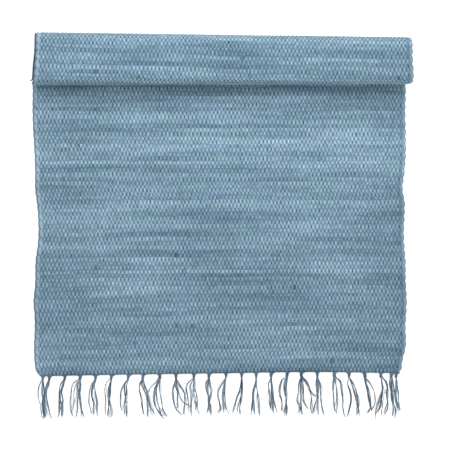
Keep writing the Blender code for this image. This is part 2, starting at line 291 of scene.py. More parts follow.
# Where each part of the section lies on the flat map that colours are kept on: left, right, bottom, top.
KEPT = {
    "upper": (0.03, 0.97, 0.0, 0.76),
    "right": (0.97, 1.0, 0.0, 0.76),
    "left": (0.0, 0.03, 0.0, 0.76),
    "lower": (0.03, 0.97, 0.78, 0.96),
    "ends": (0.03, 0.97, 0.975, 0.995),
}
KEPT_TURNED = {"upper": "lower", "lower": "upper", "left": "right", "right": "left"}
KEPT_SPLIT = 0.77  # the face with coarse columns lies above this, and the one with fine ones below
KEPT_ENDS = (0.2, 0.8)  # where an end's two long sides lie in their strip
SEAM_GAP = 1e-6  # points of the grid's two sides that are this near are one

# The same for the tubes of thread, where each tube has a column: the gap at its sides, how far up its
# rings start and run, and its two ends' middles and radii.
COLUMN_GAP = 0.05
COLUMN_START, COLUMN_RUN = 0.01, 0.92
COLUMN_ENDS = (0.95, 0.98)
COLUMN_END_RADII = (0.4, 0.012)
TWIST_END = 0.1  # an end lies on a round of this radius on the map of twist

FIELD = 400  # the values to a side of a field of soft noise


# ------------------------------------------------------------------ shapes of the cloth


def eased(share):
    """Turns an even run from 0 to 1 into one that starts and ends gently."""
    return share * share * (3 - 2 * share)


def ramp(low, high, x):
    """0 up to low, 1 from high on, smooth between."""
    return eased(np.clip((x - low) / (high - low), 0, 1))


def soft_noise(seed, u, v):
    """A smooth random field from -1 to 1, with a free value at each whole u and v."""
    grid = np.random.default_rng(seed).uniform(-1, 1, (FIELD, FIELD))
    u, v = u - min(math.floor(u.min()), 0), v - min(math.floor(v.min()), 0)
    i, j = np.floor(u).astype(int), np.floor(v).astype(int)
    fu, fv = eased(u - i), eased(v - j)
    i, j = i % (FIELD - 1), j % (FIELD - 1)
    near = grid[i, j] * (1 - fu) + grid[i + 1, j] * fu
    far = grid[i, j + 1] * (1 - fu) + grid[i + 1, j + 1] * fu
    return near * (1 - fv) + far * fv


def smooth_through(xs, ys, x):
    """Reads, at x, a smooth curve that passes through the points (xs, ys)."""
    xs, ys = np.array(xs, float), np.array(ys, float)
    x = np.clip(x, xs[0], xs[-1])
    slopes = np.gradient(ys, xs)
    k = np.clip(np.searchsorted(xs, x) - 1, 0, len(xs) - 2)
    span = xs[k + 1] - xs[k]
    t = (x - xs[k]) / span
    ends = (1 + 2 * t) * (1 - t) ** 2 * ys[k] + t * t * (3 - 2 * t) * ys[k + 1]
    leans = t * (1 - t) ** 2 * slopes[k] + t * t * (t - 1) * slopes[k + 1]
    return ends + leans * span


def distances(points):
    """How far along a line of points each of them lies."""
    return np.concatenate([[0.0], np.cumsum(np.linalg.norm(np.diff(points, axis=0), axis=1))])


def winding(share):
    """The roll at this share of the width: axis, depth and height over the mean, radius and pitch."""
    axis, half_depth, half_height = (a + (b - a) * share for a, b in zip(LEFT_END, RIGHT_END))
    deep, high = half_depth - CLOTH_THICK / 2, half_height - CLOTH_THICK / 2
    mean = (deep + high) / 2
    rolled = (CLOTH_LENGTH - axis) / (1 + SLUMP / 2)
    pitch = 2 * (mean - rolled / (2 * math.pi * ROLL_TURNS)) / ROLL_TURNS
    return axis, deep / mean, high / mean, mean, pitch


def wound(share, turns):
    """How far the roll's mid-surface lies behind its axis and below its middle, at these turns."""
    _, deep, high, mean, pitch = winding(share)
    angle = 2 * math.pi * turns
    radius = (mean - pitch * turns) * (1 + SLUMP * np.sin(2 * angle) ** 2)
    return deep * radius * np.sin(angle), high * radius * np.cos(angle)


def turns_at(share, along):
    """Turns made at these distances from the hem, at one share of the width."""
    turns = np.linspace(0, ROLL_TURNS + SPARE_TURNS, WALK_STEPS)
    walked = distances(np.stack(wound(share, turns), axis=1))
    return np.interp(along - winding(share)[0], walked, turns)


def hem_wave(share, along):
    """How far the hem's wave moves the cloth towards the fringe, in metres."""
    panels = np.linspace(0, 1, len(HEM_OUT_MM))
    return smooth_through(panels, HEM_OUT_MM, share) * MM * np.clip(1 - along / HEM_FADE, 0, 1)


def middle_of_cloth(share, along):
    """The mid-surface's y and z, and its face's direction in y and z, for columns of points."""
    axis, _, high, mean, _ = winding(share)
    turns = np.stack([turns_at(x, along[:, k]) for k, x in enumerate(share)], axis=1)
    behind, below = wound(share, turns)
    ahead, less = wound(share, turns + TURN_STEP), wound(share, turns - TURN_STEP)
    run_y, run_z = ahead[0] - less[0], less[1] - ahead[1]
    run = np.hypot(run_y, run_z)
    flat = along <= axis
    y = np.where(flat, along - hem_wave(share, along), axis + behind)
    z = np.where(flat, CLOTH_THICK / 2, CLOTH_THICK / 2 + high * mean - below)
    return y, z, np.where(flat, 0.0, -run_z / run), np.where(flat, 1.0, run_y / run)


def edges_at(along):
    """The left and right selvedge's x at these distances from the hem, without the loops of weft."""
    turns = turns_at(0.5, along)
    flat_along, *flat_sides = zip(*FLAT_EDGES)
    rolled_turns, *rolled_sides = zip(*ROLLED_EDGES)
    inside = []
    for flat, rolled in zip(flat_sides, rolled_sides):
        laid = smooth_through(flat_along, flat, along / MM)
        wrapped = smooth_through(rolled_turns, rolled, turns)
        inside.append(np.where(turns > 0, wrapped, laid) * MM)
    return inside[0] - CLOTH_WIDTH / 2, CLOTH_WIDTH / 2 - inside[1]


def corner_cut(along):
    """How far the hem's two corners are rounded off at these distances from the hem."""
    short = np.clip(CORNER_RADIUS - along, 0, CORNER_RADIUS)
    return CORNER_RADIUS - np.sqrt(CORNER_RADIUS**2 - short**2)


def pick_lines():
    """The distance from the hem to each line between picks."""
    rng = np.random.default_rng(PICK_SEED)
    depths = rng.uniform(1 - PICK_UNEVEN, 1 + PICK_UNEVEN, PICKS)
    lines = np.concatenate([[0.0], np.cumsum(depths)])
    return lines * CLOTH_LENGTH / lines[-1]


def straight_at(t):
    """The distance from the hem to pick t, were the picks straight."""
    return np.interp(t, np.arange(PICKS + 1), pick_lines())


def along_at(s, t):
    """The distance from the hem to warp s and pick t, with the sway and unevenness of hand weaving."""
    straight = straight_at(t)
    sway = sum(row.mm * soft_noise(row.seed, s / row.warps, t / row.picks) for row in PICKS_WANDER)
    from_hem, from_far_end = PICKS_SETTLE
    free = ramp(0, from_hem, straight) * ramp(0, from_far_end, CLOTH_LENGTH - straight)
    return straight + sway * MM * free


def weave_height(s, t, face):
    """The relief at warp s and pick t. face is 1 on the upper face and -1 on the lower one.

    set_off is 0 where two picks touch and 1 where they part."""
    over = face * np.sin(math.pi * s) * np.cos(math.pi * np.floor(t + ON_LINE))
    rag = np.clip((over + RAG_FULL) / (1 + RAG_FULL), 0, 1)
    set_off = 0.5 + 0.5 * soft_noise(GROOVE_SEED, s / GROOVE_WARPS, np.round(t))
    crown = np.abs(np.sin(math.pi * t)) ** (PICK_ROUND + PICK_ROUND_APART * set_off)
    by_pass = PASS_LIVELY * soft_noise(PASS_SEED, np.floor(s) + IN_CELL, np.floor(t) + IN_CELL)
    by_patch = PATCH_LIVELY * soft_noise(PATCH_SEED, s / PATCH_WARPS, t / PATCH_PICKS)
    weft = HOLLOW + (WEFT_CROWN * (1 + by_pass + by_patch) - HOLLOW) * rag**RAG_ROUND
    warp = HOLLOW + WARP_RISE * np.clip(-over, 0, 1) ** 2
    groove = HOLLOW * (GROOVE_SHUT + (1 - GROOVE_SHUT) * set_off)
    return groove + (np.maximum(weft, warp) - groove) * crown


def loops_at(t):
    """How full the weft's loop is at the left and the right selvedge, from 0 in a notch to 1."""
    swing = math.pi * t / 2
    return np.abs(np.cos(swing)) ** LOOP_ROUND, np.abs(np.sin(swing)) ** LOOP_ROUND


# ------------------------------------------------------------------ the cloth's bands


def ring_of(shows):
    """The parts of a section across the cloth, each with its number of columns: upper face, right edge,
    lower face and left edge."""
    fine = WARPS * FINE
    columns = {"upper": (fine, COARSE_COLUMNS), "lower": (COARSE_COLUMNS, fine)}
    upper, lower = columns.get(shows, (COARSE_COLUMNS, COARSE_COLUMNS))
    return (("upper", upper), ("right", EDGE_STEPS), ("lower", lower), ("left", EDGE_STEPS))


def ring_points(parts):
    """share, lift and out for each point round a section.

    They are its place across, how far it lies towards the upper face, and how far past a face's end."""
    rings = []
    for part, count in parts:
        run = np.arange(count) / count
        if count == WARPS * FINE:
            run = run + 0.5 / count * ramp(0, MIDDLES_FROM, np.minimum(run, 1 - run))
        still, turned = np.zeros(count), math.pi * run
        shapes = {
            "upper": (run, still + 1, still),
            "right": (still + 1, np.cos(turned), np.sin(turned)),
            "lower": (1 - run, still - 1, still),
            "left": (still, -np.cos(turned), -np.sin(turned)),
        }
        rings.append(np.stack(shapes[part]))
    ring = np.concatenate(rings, axis=1)
    return np.concatenate([ring, ring[:, :1]], axis=1)


def places_across(share, out, s, t, straight):
    """The x of each point: between the selvedges, swung by their loops and drawn in at the hem's corners."""
    left, right = edges_at(straight)
    from_left = share * CLOTH_WIDTH
    from_right = CLOTH_WIDTH - from_left
    x = left + EDGE_ROUND + (right - left - 2 * EDGE_ROUND) * share + out * EDGE_ROUND
    loop_left, loop_right = loops_at(t)
    near_left, near_right = (1 - ramp(0, LOOP_REACH, inside) for inside in (from_left, from_right))
    x += RIGHT_LOOP * loop_right * near_right - LEFT_LOOP * loop_left * near_left
    near_left, near_right = (1 - ramp(0, CORNER_REACH, inside) for inside in (from_left, from_right))
    x += corner_cut(straight) * (near_left - near_right)
    free = ramp(*WARPS_SETTLE, np.minimum(from_left, from_right))
    aside = soft_noise(WARPS_WANDER.seed, s / WARPS_WANDER.warps, t / WARPS_WANDER.picks)
    return x + WARPS_WANDER.mm * MM * aside * free


def relief_at(shows, share, lift, s, t):
    """How far each point stands off the cloth's mean face: the weave, and the bare loops at its sides."""
    from_left = share * CLOTH_WIDTH
    from_side = np.minimum(from_left, CLOTH_WIDTH - from_left)
    on_left = from_left < CLOTH_WIDTH / 2
    wide = np.where(on_left, LEFT_BAND, RIGHT_BAND)
    bare = 1 - ramp(wide - BAND_STEP, wide, from_side)
    notched = (1 - np.where(on_left, *loops_at(t))) * (1 - ramp(0, NOTCH_REACH * wide, from_side))
    loops = bare * (BARE_RISE - NOTCH_DEPTH * notched)
    if shows not in FACING:
        return loops
    face = FACING[shows]
    woven = np.where(lift == face, weave_height(s, t, face), 0.0)
    groove = np.exp(-(((from_side - wide) / BAND_GROOVE_WIDE) ** 2))
    return woven * (1 - bare) + loops - BAND_GROOVE * groove * (np.abs(lift) > ON_FACE)


def cloth_points(band, parts):
    """The points of a band of cloth as rows by ring, with the warp and pick that each lies at."""
    share, lift, out = ring_points(parts)
    picks = np.linspace(band.first, band.last, (band.last - band.first) * ROWS + 1)
    s, t = np.meshgrid(share * WARPS, picks)
    straight = straight_at(picks)[:, None]
    x = places_across(share, out, s, t, straight)
    y, z, face_y, face_z = middle_of_cloth(share, along_at(s, t))
    from_end = np.clip(np.minimum(straight, CLOTH_LENGTH - straight) / HEM_NOSE, NOSE_BLUNT, 1)
    thick = CLOTH_THICK / 2 + relief_at(band.shows, share, lift, s, t)
    thick = thick * np.sqrt(1 - (1 - from_end) ** 2)
    y = y + face_y * lift * thick
    z = np.maximum(z + face_z * lift * thick, 0.0)
    return np.stack([x + HEM_MIDDLE[0], y + HEM_MIDDLE[1], z], axis=2), s, t


def cloth_band(band):
    """One band of cloth: a grid wrapped round the section and closed at both ends."""
    parts = ring_of(band.shows)
    points, s, t = cloth_points(band, parts)
    rows, ring = points.shape[0] - 1, points.shape[1] - 1
    bpy.ops.mesh.primitive_grid_add(x_subdivisions=ring, y_subdivisions=rows, size=1)
    piece = bpy.context.object
    piece.name = piece.data.name = band.name
    mesh = piece.data
    flat = np.zeros(len(mesh.vertices) * 3)
    mesh.vertices.foreach_get("co", flat)
    flat = flat.reshape(-1, 3)
    across = np.round((flat[:, 0] + 0.5) * ring).astype(int)
    up = np.round((flat[:, 1] + 0.5) * rows).astype(int)
    mesh.vertices.foreach_set("co", points[up, across].ravel())
    map_cloth(mesh, parts, across, up, s, t)
    close_band(mesh, parts, across, up, s, t)
    mark_faces(mesh, parts)
    return piece


def map_cloth(mesh, parts, across, up, s, t):
    """The map of warps and picks that the weave is drawn on, and the flat one that colours are kept on."""
    corners = np.zeros(len(mesh.loops), int)
    mesh.loops.foreach_get("vertex_index", corners)
    column = across[corners].reshape(-1, 4)
    column = np.repeat(column.min(axis=1), 4)
    here, row = across[corners], up[corners] / up.max()
    weave = mesh.uv_layers.new(name="Weave")
    weave.data.foreach_set("uv", np.stack([s[up[corners], here], t[up[corners], here]], axis=1).ravel())
    kept = np.zeros((len(corners), 2))
    start = 0
    for part, count in parts:
        mine = (column >= start) & (column < start + count)
        run = (here[mine] - start) / count
        low, high, bottom, top = KEPT[part if parts[0][1] >= parts[2][1] else KEPT_TURNED[part]]
        kept[mine, 0] = low + (high - low) * run
        kept[mine, 1] = bottom + (top - bottom) * row[mine]
        start += count
    mesh.uv_layers.remove(mesh.uv_layers[0])
    mesh.uv_layers.new(name="OFBake").data.foreach_set("uv", kept.ravel())


def end_panels(at, counts, starts):
    """The corners of the faces that close an end: its two edges, and a panel for each coarse column."""
    panels = [at[starts[1] : starts[2] + 1], at[starts[3] :]]
    upper, lower = at[: starts[1] + 1], at[starts[2] : starts[3] + 1][::-1]
    few = min(counts[0], counts[2])
    above, below = counts[0] // few, counts[2] // few
    for k in range(few):
        top, bottom = upper[k * above : (k + 1) * above + 1], lower[k * below : (k + 1) * below + 1]
        panels.append(top + bottom[::-1])
    return panels


def close_band(mesh, parts, across, up, s, t):
    """Joins the grid's two sides and closes its two ends."""
    bm = bmesh.new()
    bm.from_mesh(mesh)
    bm.verts.ensure_lookup_table()
    ring = across.max()
    place = {(int(a), int(b)): k for k, (a, b) in enumerate(zip(across, up))}
    weave, kept = bm.loops.layers.uv["Weave"], bm.loops.layers.uv["OFBake"]
    counts = [count for _, count in parts]
    starts = np.concatenate([[0], np.cumsum(counts)]).tolist()
    low, high, bottom, top = KEPT["ends"]
    for end, row in enumerate((0, up.max())):
        at = [bm.verts[place[(k, row)]] for k in range(ring)] + [bm.verts[place[(0, row)]]]
        column_of = {v: k for k, v in enumerate(at[:-1])}
        for panel in end_panels(at, counts, starts):
            for corner in bm.faces.new(panel).loops:
                k = column_of[corner.vert]
                share = s[row, k] / WARPS
                level = (end + KEPT_ENDS[k > starts[1]]) / 2
                corner[weave].uv = (s[row, k], t[row, k])
                corner[kept].uv = (low + (high - low) * share, bottom + (top - bottom) * level)
    seam = [v for v, k in zip(bm.verts, across) if k in (0, ring)]
    bmesh.ops.remove_doubles(bm, verts=seam, dist=SEAM_GAP)
    bmesh.ops.recalc_face_normals(bm, faces=bm.faces)
    bm.to_mesh(mesh)
    bm.free()


def mark_faces(mesh, parts):
    """Marks each face 1 where the weave is seen from above and -1 where it is seen from below."""
    corners = np.zeros(len(mesh.loops) * 2)
    mesh.uv_layers["OFBake"].data.foreach_get("uv", corners)
    starts = np.zeros(len(mesh.polygons), int)
    mesh.polygons.foreach_get("loop_start", starts)
    heights = corners.reshape(-1, 2)[starts, 1]
    fine_below = parts[0][1] < parts[2][1]
    facing = np.where((heights > KEPT_SPLIT) != fine_below, -1.0, 1.0)
    mesh.attributes.new("facing", "FLOAT", "FACE").data.foreach_set("value", facing)


# ------------------------------------------------------------------ the fringe

# Read from the photograph, in its pixels: where each tassel is knotted, and how its threads lie,
# as the number of threads side by side and the bends that they pass through.
Tassel = namedtuple("Tassel", "knot threads")
TASSELS = (
    Tassel((43.0, 377.5), (
        (1, ((40.4, 383), (38.8, 389), (38.6, 396), (38.8, 401), (40.6, 405), (40.8, 410), (41.8, 417))),
        (2, ((43.8, 388), (44.5, 392), (44.0, 397), (42.9, 401), (43.2, 408), (44.2, 417))),
        (2, ((42.2, 389), (42.2, 395), (43.4, 402), (44.3, 409), (45.7, 416.5))),
    )),
    Tassel((49.6, 378.0), (
        (2, ((46.4, 385), (45.0, 391), (43.6, 397), (42.9, 402), (43.8, 409), (45.0, 415))),
        (2, ((47.8, 387), (46.7, 392), (46.8, 398), (48.0, 404), (49.4, 411), (50.6, 416.5))),
        (2, ((48.8, 385), (45.4, 393), (44.4, 400), (44.8, 407), (46.6, 414.5))),
    )),
    Tassel((64.9, 378.0), (
        (2, ((63.7, 385), (61.6, 391), (62.2, 396), (63.0, 401), (62.2, 405), (61.9, 409), (62.1, 415.5))),
        (2, ((60.9, 384), (59.3, 390), (59.3, 395), (59.0, 402), (58.9, 410), (58.3, 416.5))),
        (2, ((62.2, 386), (60.3, 392), (60.5, 398), (61.6, 404), (62.5, 411), (61.6, 415))),
    )),
    Tassel((80.4, 377.5), (
        (1, ((75.0, 382), (72.0, 387), (71.3, 394), (70.8, 402), (70.7, 408), (71.4, 412.5), (73.3, 416.5))),
        (1, ((76.2, 384), (74.5, 388), (73.9, 394), (74.2, 402), (73.2, 407), (71.4, 412.5))),
        (2, ((77.7, 385), (77.8, 391), (77.5, 400), (77.8, 409), (76.3, 416))),
        (2, ((80.1, 387), (80.0, 396), (80.8, 405), (82.0, 411), (84.0, 416))),
        (1, ((79.4, 388), (79.2, 398), (80.4, 408), (81.0, 416))),
    )),
    Tassel((95.6, 378.5), (
        (1, ((91.3, 384), (89.8, 391), (89.1, 398), (89.1, 403), (90.9, 409), (91.8, 413.5))),
        (2, ((93.0, 385), (91.7, 391), (92.1, 398), (93.4, 402), (94.0, 409), (94.2, 414.5))),
        (3, ((94.3, 385), (95.5, 391), (96.1, 398), (97.1, 404), (96.9, 409), (97.2, 414.5))),
    )),
    Tassel((111.8, 378.0), (
        (1, ((106.6, 382), (104.7, 392), (105.4, 402), (105.8, 413))),
        (3, ((109.2, 387), (108.8, 394), (109.2, 401), (108.6, 409), (108.4, 416))),
        (2, ((110.4, 386), (109.8, 393), (109.8, 401), (110.8, 409), (111.4, 416))),
    )),
    Tassel((128.7, 378.0), (
        (2, ((124.9, 384), (124.6, 390), (125.3, 396), (126.4, 405), (126.6, 416))),
        (2, ((122.9, 386), (120.7, 394), (120.5, 402), (121.5, 410))),
        (2, ((126.4, 386), (126.4, 393), (125.4, 400), (124.2, 408), (124.8, 414))),
    )),
    Tassel((143.4, 377.5), (
        (2, ((139.3, 385), (139.7, 391), (141.3, 397), (142.2, 405), (143.9, 414))),
        (2, ((141.9, 385), (144.0, 391), (146.3, 397), (147.2, 406), (147.6, 417))),
        (2, ((145.0, 386), (147.4, 393), (149.3, 403), (151.6, 408), (154.2, 412.5))),
        (1, ((144.4, 388), (147.2, 399), (149.6, 407), (151.6, 414))),
    )),
    Tassel((159.6, 377.5), (
        (1, ((156.0, 382), (152.2, 386), (149.2, 389), (147.0, 393))),
        (2, ((154.8, 388), (153.4, 397), (155.4, 407), (158.0, 411), (160.8, 415))),
        (2, ((156.6, 388), (157.0, 398), (159.2, 408), (161.9, 417))),
        (2, ((159.4, 388), (161.9, 403), (164.4, 412), (167.7, 416))),
    )),
    Tassel((176.0, 378.0), (
        (2, ((172.4, 390), (172.8, 399), (175.6, 408), (180.3, 413))),
        (2, ((175.4, 385), (177.3, 391), (177.6, 398), (177.9, 408))),
        (2, ((178.6, 382), (180.6, 386), (184.2, 392), (184.9, 400), (183.5, 414))),
        (1, ((178.0, 389), (180.6, 397), (183.4, 402), (188.9, 405))),
    )),
    Tassel((193.9, 378.0), (
        (2, ((189.4, 381), (186.8, 386), (187.6, 396), (188.4, 403), (188.9, 410))),
        (2, ((190.2, 385), (191.4, 396), (191.0, 406), (191.5, 416))),
        (2, ((194.1, 388), (196.4, 394), (197.4, 401), (197.0, 409))),
        (1, ((193.0, 390), (194.4, 399), (196.4, 406), (199.0, 413))),
    )),
    Tassel((209.2, 378.0), (
        (2, ((205.7, 383), (206.0, 388), (207.4, 393), (209.5, 400), (210.6, 407), (211.2, 414))),
        (2, ((209.8, 385), (211.2, 391), (210.4, 396), (209.2, 401), (207.8, 412))),
        (2, ((208.0, 386), (208.6, 394), (208.4, 402), (209.6, 410))),
    )),
    Tassel((226.1, 377.5), (
        (2, ((221.5, 385), (218.4, 391), (218.3, 396), (219.6, 404), (220.2, 409), (218.1, 412))),
        (2, ((224.8, 387), (224.6, 393), (225.2, 400), (226.6, 408), (228.7, 413))),
        (2, ((223.4, 386), (222.4, 394), (222.8, 403), (223.9, 412))),
    )),
    Tassel((241.8, 377.5), (
        (2, ((240.8, 384), (239.4, 391), (236.9, 397), (235.0, 405), (233.3, 412.5))),
        (2, ((241.6, 386), (241.4, 393), (240.5, 401), (239.9, 408), (240.5, 413))),
        (1, ((242.2, 388), (240.2, 398), (238.0, 405), (237.2, 412))),
    )),
    Tassel((256.2, 376.5), (
        (2, ((255.5, 384), (254.0, 391), (253.8, 401), (254.4, 407), (255.1, 413))),
        (2, ((254.8, 385), (253.2, 394), (252.4, 404), (251.7, 413))),
        (2, ((256.2, 384), (257.3, 391), (259.1, 402), (259.4, 407), (259.7, 414))),
    )),
    Tassel((271.5, 377.5), (
        (2, ((268.7, 382), (269.0, 389), (270.4, 400), (270.7, 404), (270.9, 409))),
        (2, ((272.3, 386), (273.2, 397), (274.8, 404), (276.4, 410))),
        (2, ((271.0, 386), (271.6, 396), (272.2, 404), (273.2, 412))),
    )),
    Tassel((287.3, 376.5), (
        (2, ((282.6, 379), (280.3, 387), (279.5, 394), (282.0, 401), (281.9, 405), (281.5, 411))),
        (3, ((285.2, 383), (285.2, 392), (286.1, 401), (286.2, 407), (285.7, 415))),
        (1, ((286.8, 386), (287.2, 396), (286.0, 405), (284.0, 413))),
    )),
    Tassel((301.6, 375.5), (
        (2, ((298.9, 384), (298.2, 392), (297.4, 402), (299.8, 408), (298.4, 412))),
        (2, ((300.4, 388), (300.6, 397), (301.4, 406), (302.1, 414))),
        (2, ((303.2, 384), (303.6, 392), (304.2, 402), (307.8, 408.5))),
        (2, ((306.4, 381), (309.3, 387), (311.2, 397), (310.8, 406), (311.6, 413))),
        (1, ((308.8, 386), (311.2, 391), (313.6, 395), (316.7, 396.5))),
    )),
    Tassel((317.3, 375.5), (
        (2, ((316.2, 381), (316.5, 389), (317.4, 396), (314.4, 406), (314.2, 412))),
        (2, ((318.0, 384), (318.2, 393), (318.0, 403), (318.5, 413))),
        (2, ((320.3, 386), (320.6, 395), (321.6, 405), (323.6, 414))),
    )),
    Tassel((334.5, 376.0), (
        (2, ((333.4, 385), (333.3, 394), (333.5, 402), (334.2, 411))),
        (2, ((335.9, 385), (336.9, 393), (337.4, 400), (336.8, 413))),
        (2, ((339.8, 381), (341.4, 391), (343.0, 400), (342.7, 407), (344.6, 415))),
    )),
    Tassel((348.9, 376.5), (
        (2, ((347.4, 384), (349.8, 392), (350.9, 401), (349.2, 408), (347.7, 415))),
        (2, ((351.8, 381), (355.1, 387), (357.1, 395), (358.0, 403), (356.3, 414))),
        (2, ((351.6, 384), (354.2, 392), (356.6, 402), (359.5, 414))),
    )),
    Tassel((364.6, 377.5), (
        (3, ((365.2, 382), (368.2, 391), (370.4, 402), (370.6, 406), (368.2, 411.8))),
        (1, ((369.0, 382.5), (372.8, 388.5), (375.0, 397), (374.9, 403), (372.6, 408.6))),
        (2, ((365.8, 385), (367.8, 395), (369.6, 403), (371.4, 409.5))),
    )),
    Tassel((380.9, 376.0), (
        (2, ((382.5, 384), (382.7, 389), (381.0, 395), (377.9, 404), (375.8, 411), (375.2, 416.5))),
        (2, ((382.6, 387), (382.3, 393), (381.0, 401), (379.6, 408), (377.2, 412))),
        (1, ((382.2, 391), (382.0, 399), (382.4, 406), (381.5, 415))),
        (1, ((385.6, 380.5), (387.2, 385.5), (386.1, 393), (387.5, 402), (385.2, 409), (384.2, 412.8))),
        (1, ((384.8, 380), (387.3, 388), (387.2, 397), (387.4, 409), (385.6, 413.5))),
    )),
    Tassel((391.6, 376.0), (
        (2, ((389.6, 380), (389.4, 384), (390.8, 390), (391.0, 397), (392.7, 405), (392.4, 416.5))),
        (2, ((392.6, 381), (393.6, 387), (394.8, 394), (396.2, 402), (397.6, 409))),
        (2, ((391.4, 384), (392.2, 394), (393.4, 403), (395.6, 410), (395.5, 416))),
    )),
    Tassel((396.2, 376.0), (
        (2, ((396.8, 381), (396.8, 387), (398.2, 393), (398.5, 401), (399.4, 409.8))),
        (2, ((395.8, 384), (395.6, 391), (396.6, 399), (397.9, 405), (400.2, 409))),
    )),
)


def on_floor(across, down):
    """The floor's x and y at a point of the photograph."""
    x = (across - HEM_PIXEL[0]) * MM_PER_PIXEL * MM + HEM_MIDDLE[0]
    return x, HEM_MIDDLE[1] - (down - HEM_PIXEL[1]) * MM_PER_PIXEL * MM


def hem_y(x):
    """Where the hem lies at this place across."""
    share = np.clip((x - HEM_MIDDLE[0]) / CLOTH_WIDTH + 0.5, 0, 1)
    return HEM_MIDDLE[1] - hem_wave(share, 0.0)


def along_path(points, count):
    """Spreads count points evenly along a smooth curve through these points."""
    points = np.array(points)
    walked = distances(points)
    at = np.linspace(0, walked[-1], count)
    return np.stack([smooth_through(walked, points[:, k], at) for k in range(points.shape[1])], axis=1)


def tapered(radius, taper, rings):
    """The radii of a tube that thins towards its end."""
    return radius * (1 - taper.share * ramp(taper.start, 1, np.linspace(0, 1, rings)))


# wide and high are radii, one for each ring; tone is from 0, darkest, to 1, washed out.
Tube = namedtuple("Tube", "path wide high sides tone")


def thread_path(tassel, from_middle, lift, bends, radius):
    """A thread's middle line, from inside the hem through its knot and the bends that it lies in."""
    knot_x, knot_y = on_floor(*tassel.knot)
    start_x = knot_x + from_middle * NECK_WIDTH
    points = [
        (start_x, float(hem_y(start_x)) + HEM_HOLD, CLOTH_THICK / 2),
        (knot_x + from_middle * KNOT_WIDTH / 2, knot_y, KNOT_HIGH / 2),
    ]
    for k, bend in enumerate(bends):
        points.append((*on_floor(*bend), radius * (1 + lift * (1 - k / len(bends)))))
    return along_path(points, THREAD_RINGS)


def move_aside(path, beside, stray):
    """Moves a thread sideways: beside its neighbours, and astray from its line."""
    run = np.linspace(0, 1, len(path))
    ahead = np.gradient(path, axis=0)
    aside = np.stack([ahead[:, 1], -ahead[:, 0]], axis=1)
    aside /= np.linalg.norm(aside, axis=1)[:, None]
    path[:, :2] += aside * (beside * ramp(*SPREAD_FROM, run) + stray * ramp(*STRAY_FROM, run))[:, None]


def fibre_tube(rng, end, heading):
    """A loose fibre at a thread's cut end, which lies about the way the thread was heading."""
    run = np.linspace(0, 1, FIBRE_RINGS)
    astray = rng.uniform(-FIBRE_ASTRAY, FIBRE_ASTRAY)
    turned = math.atan2(heading[1], heading[0]) + astray + rng.uniform(-FIBRE_CURL, FIBRE_CURL) * run
    reach = rng.uniform(*FIBRE_LENGTH) * run
    height = FIBRE_RADIUS + (end[2] - FIBRE_RADIUS) * (1 - run) ** 2
    path = np.stack([end[0] + reach * np.cos(turned), end[1] + reach * np.sin(turned), height], axis=1)
    thin = FIBRE_RADIUS * (1 - run / 2)
    return Tube(path, thin, thin, FIBRE_SIDES, rng.uniform(*FIBRE_TONES))


def thread_tubes():
    """Every thread of the fringe, from inside the hem through its knot to its frayed end."""
    rng = np.random.default_rng(THREAD_SEED)
    run = np.linspace(0, 1, THREAD_RINGS)
    tubes = []
    for tassel in TASSELS:
        total = sum(count + UNTWISTED_STRANDS for count, _ in tassel.threads)
        placed = 0
        for count, bends in tassel.threads:
            phase = rng.uniform(0, 2 * math.pi)
            for k in range(count + UNTWISTED_STRANDS):
                strand = WHOLE if k < count else UNTWISTED
                radius = rng.uniform(*THREAD_RADIUS) * strand.thick
                lift = LIE_OVER[placed % len(LIE_OVER)]
                path = thread_path(tassel, (placed + 0.5) / total - 0.5, lift, bends, radius)
                beside = SPREAD * radius * (k - (count - 1) / 2) * np.cos(phase + SPREAD_TURN * run)
                row = len(tubes) % STRAY_ROWS
                stray = strand.stray * MM * soft_noise(STRAY_SEED + placed, run * STRAY_WAVES, run + row)
                move_aside(path, beside, stray)
                path[-1] += (path[-1] - path[-2]) * rng.uniform(*CUT_UNEVEN)
                path[:, 2] = np.maximum(path[:, 2], radius)
                thin = tapered(radius, THREAD_TAPER, THREAD_RINGS)
                tubes.append(Tube(path, thin, thin, THREAD_SIDES, rng.uniform(*strand.tones)))
                for _ in range(FIBRES):
                    tubes.append(fibre_tube(rng, path[-1], path[-1] - path[-2]))
                placed += 1
    return tubes


def knot_tubes():
    """A gathered neck for each tassel, and the turn of thread that is drawn tight round it."""
    rng = np.random.default_rng(NECK_SEED)
    past_hem, wide, high = np.array(NECK).T * MM
    turn = np.linspace(0, 1, KNOT_RINGS)
    thick = np.full(KNOT_RINGS, KNOT_TURN.radius * MM)
    tubes = []
    for tassel in TASSELS:
        knot_x, _ = on_floor(*tassel.knot)
        top = float(hem_y(knot_x))
        width = wide * rng.uniform(*NECK_UNEVEN)
        lean = rng.uniform(-NECK_LEAN, NECK_LEAN)
        middle = np.maximum(high, NECK_MIDDLE * MM)
        path = np.stack([knot_x + lean * past_hem, top + past_hem, middle], axis=1)
        tubes.append(Tube(path, width, high, NECK_SIDES, rng.uniform(*NECK_TONES)))
        angle = 2 * math.pi * (KNOT_TURNS * turn + rng.uniform(*KNOT_START))
        tilt = rng.uniform(*KNOT_TILT)
        x = knot_x + KNOT_TURN.wide * MM * np.cos(angle)
        y = top - (KNOT_TURN.below + KNOT_TURN.climb * (turn - 0.5) - tilt * np.cos(angle)) * MM
        z = (KNOT_TURN.middle + KNOT_TURN.high * np.sin(angle)) * MM
        path = np.stack([x, y, z], axis=1)
        tubes.append(Tube(path, thick, thick, KNOT_SIDES, rng.uniform(*KNOT_TONES)))
    return tubes


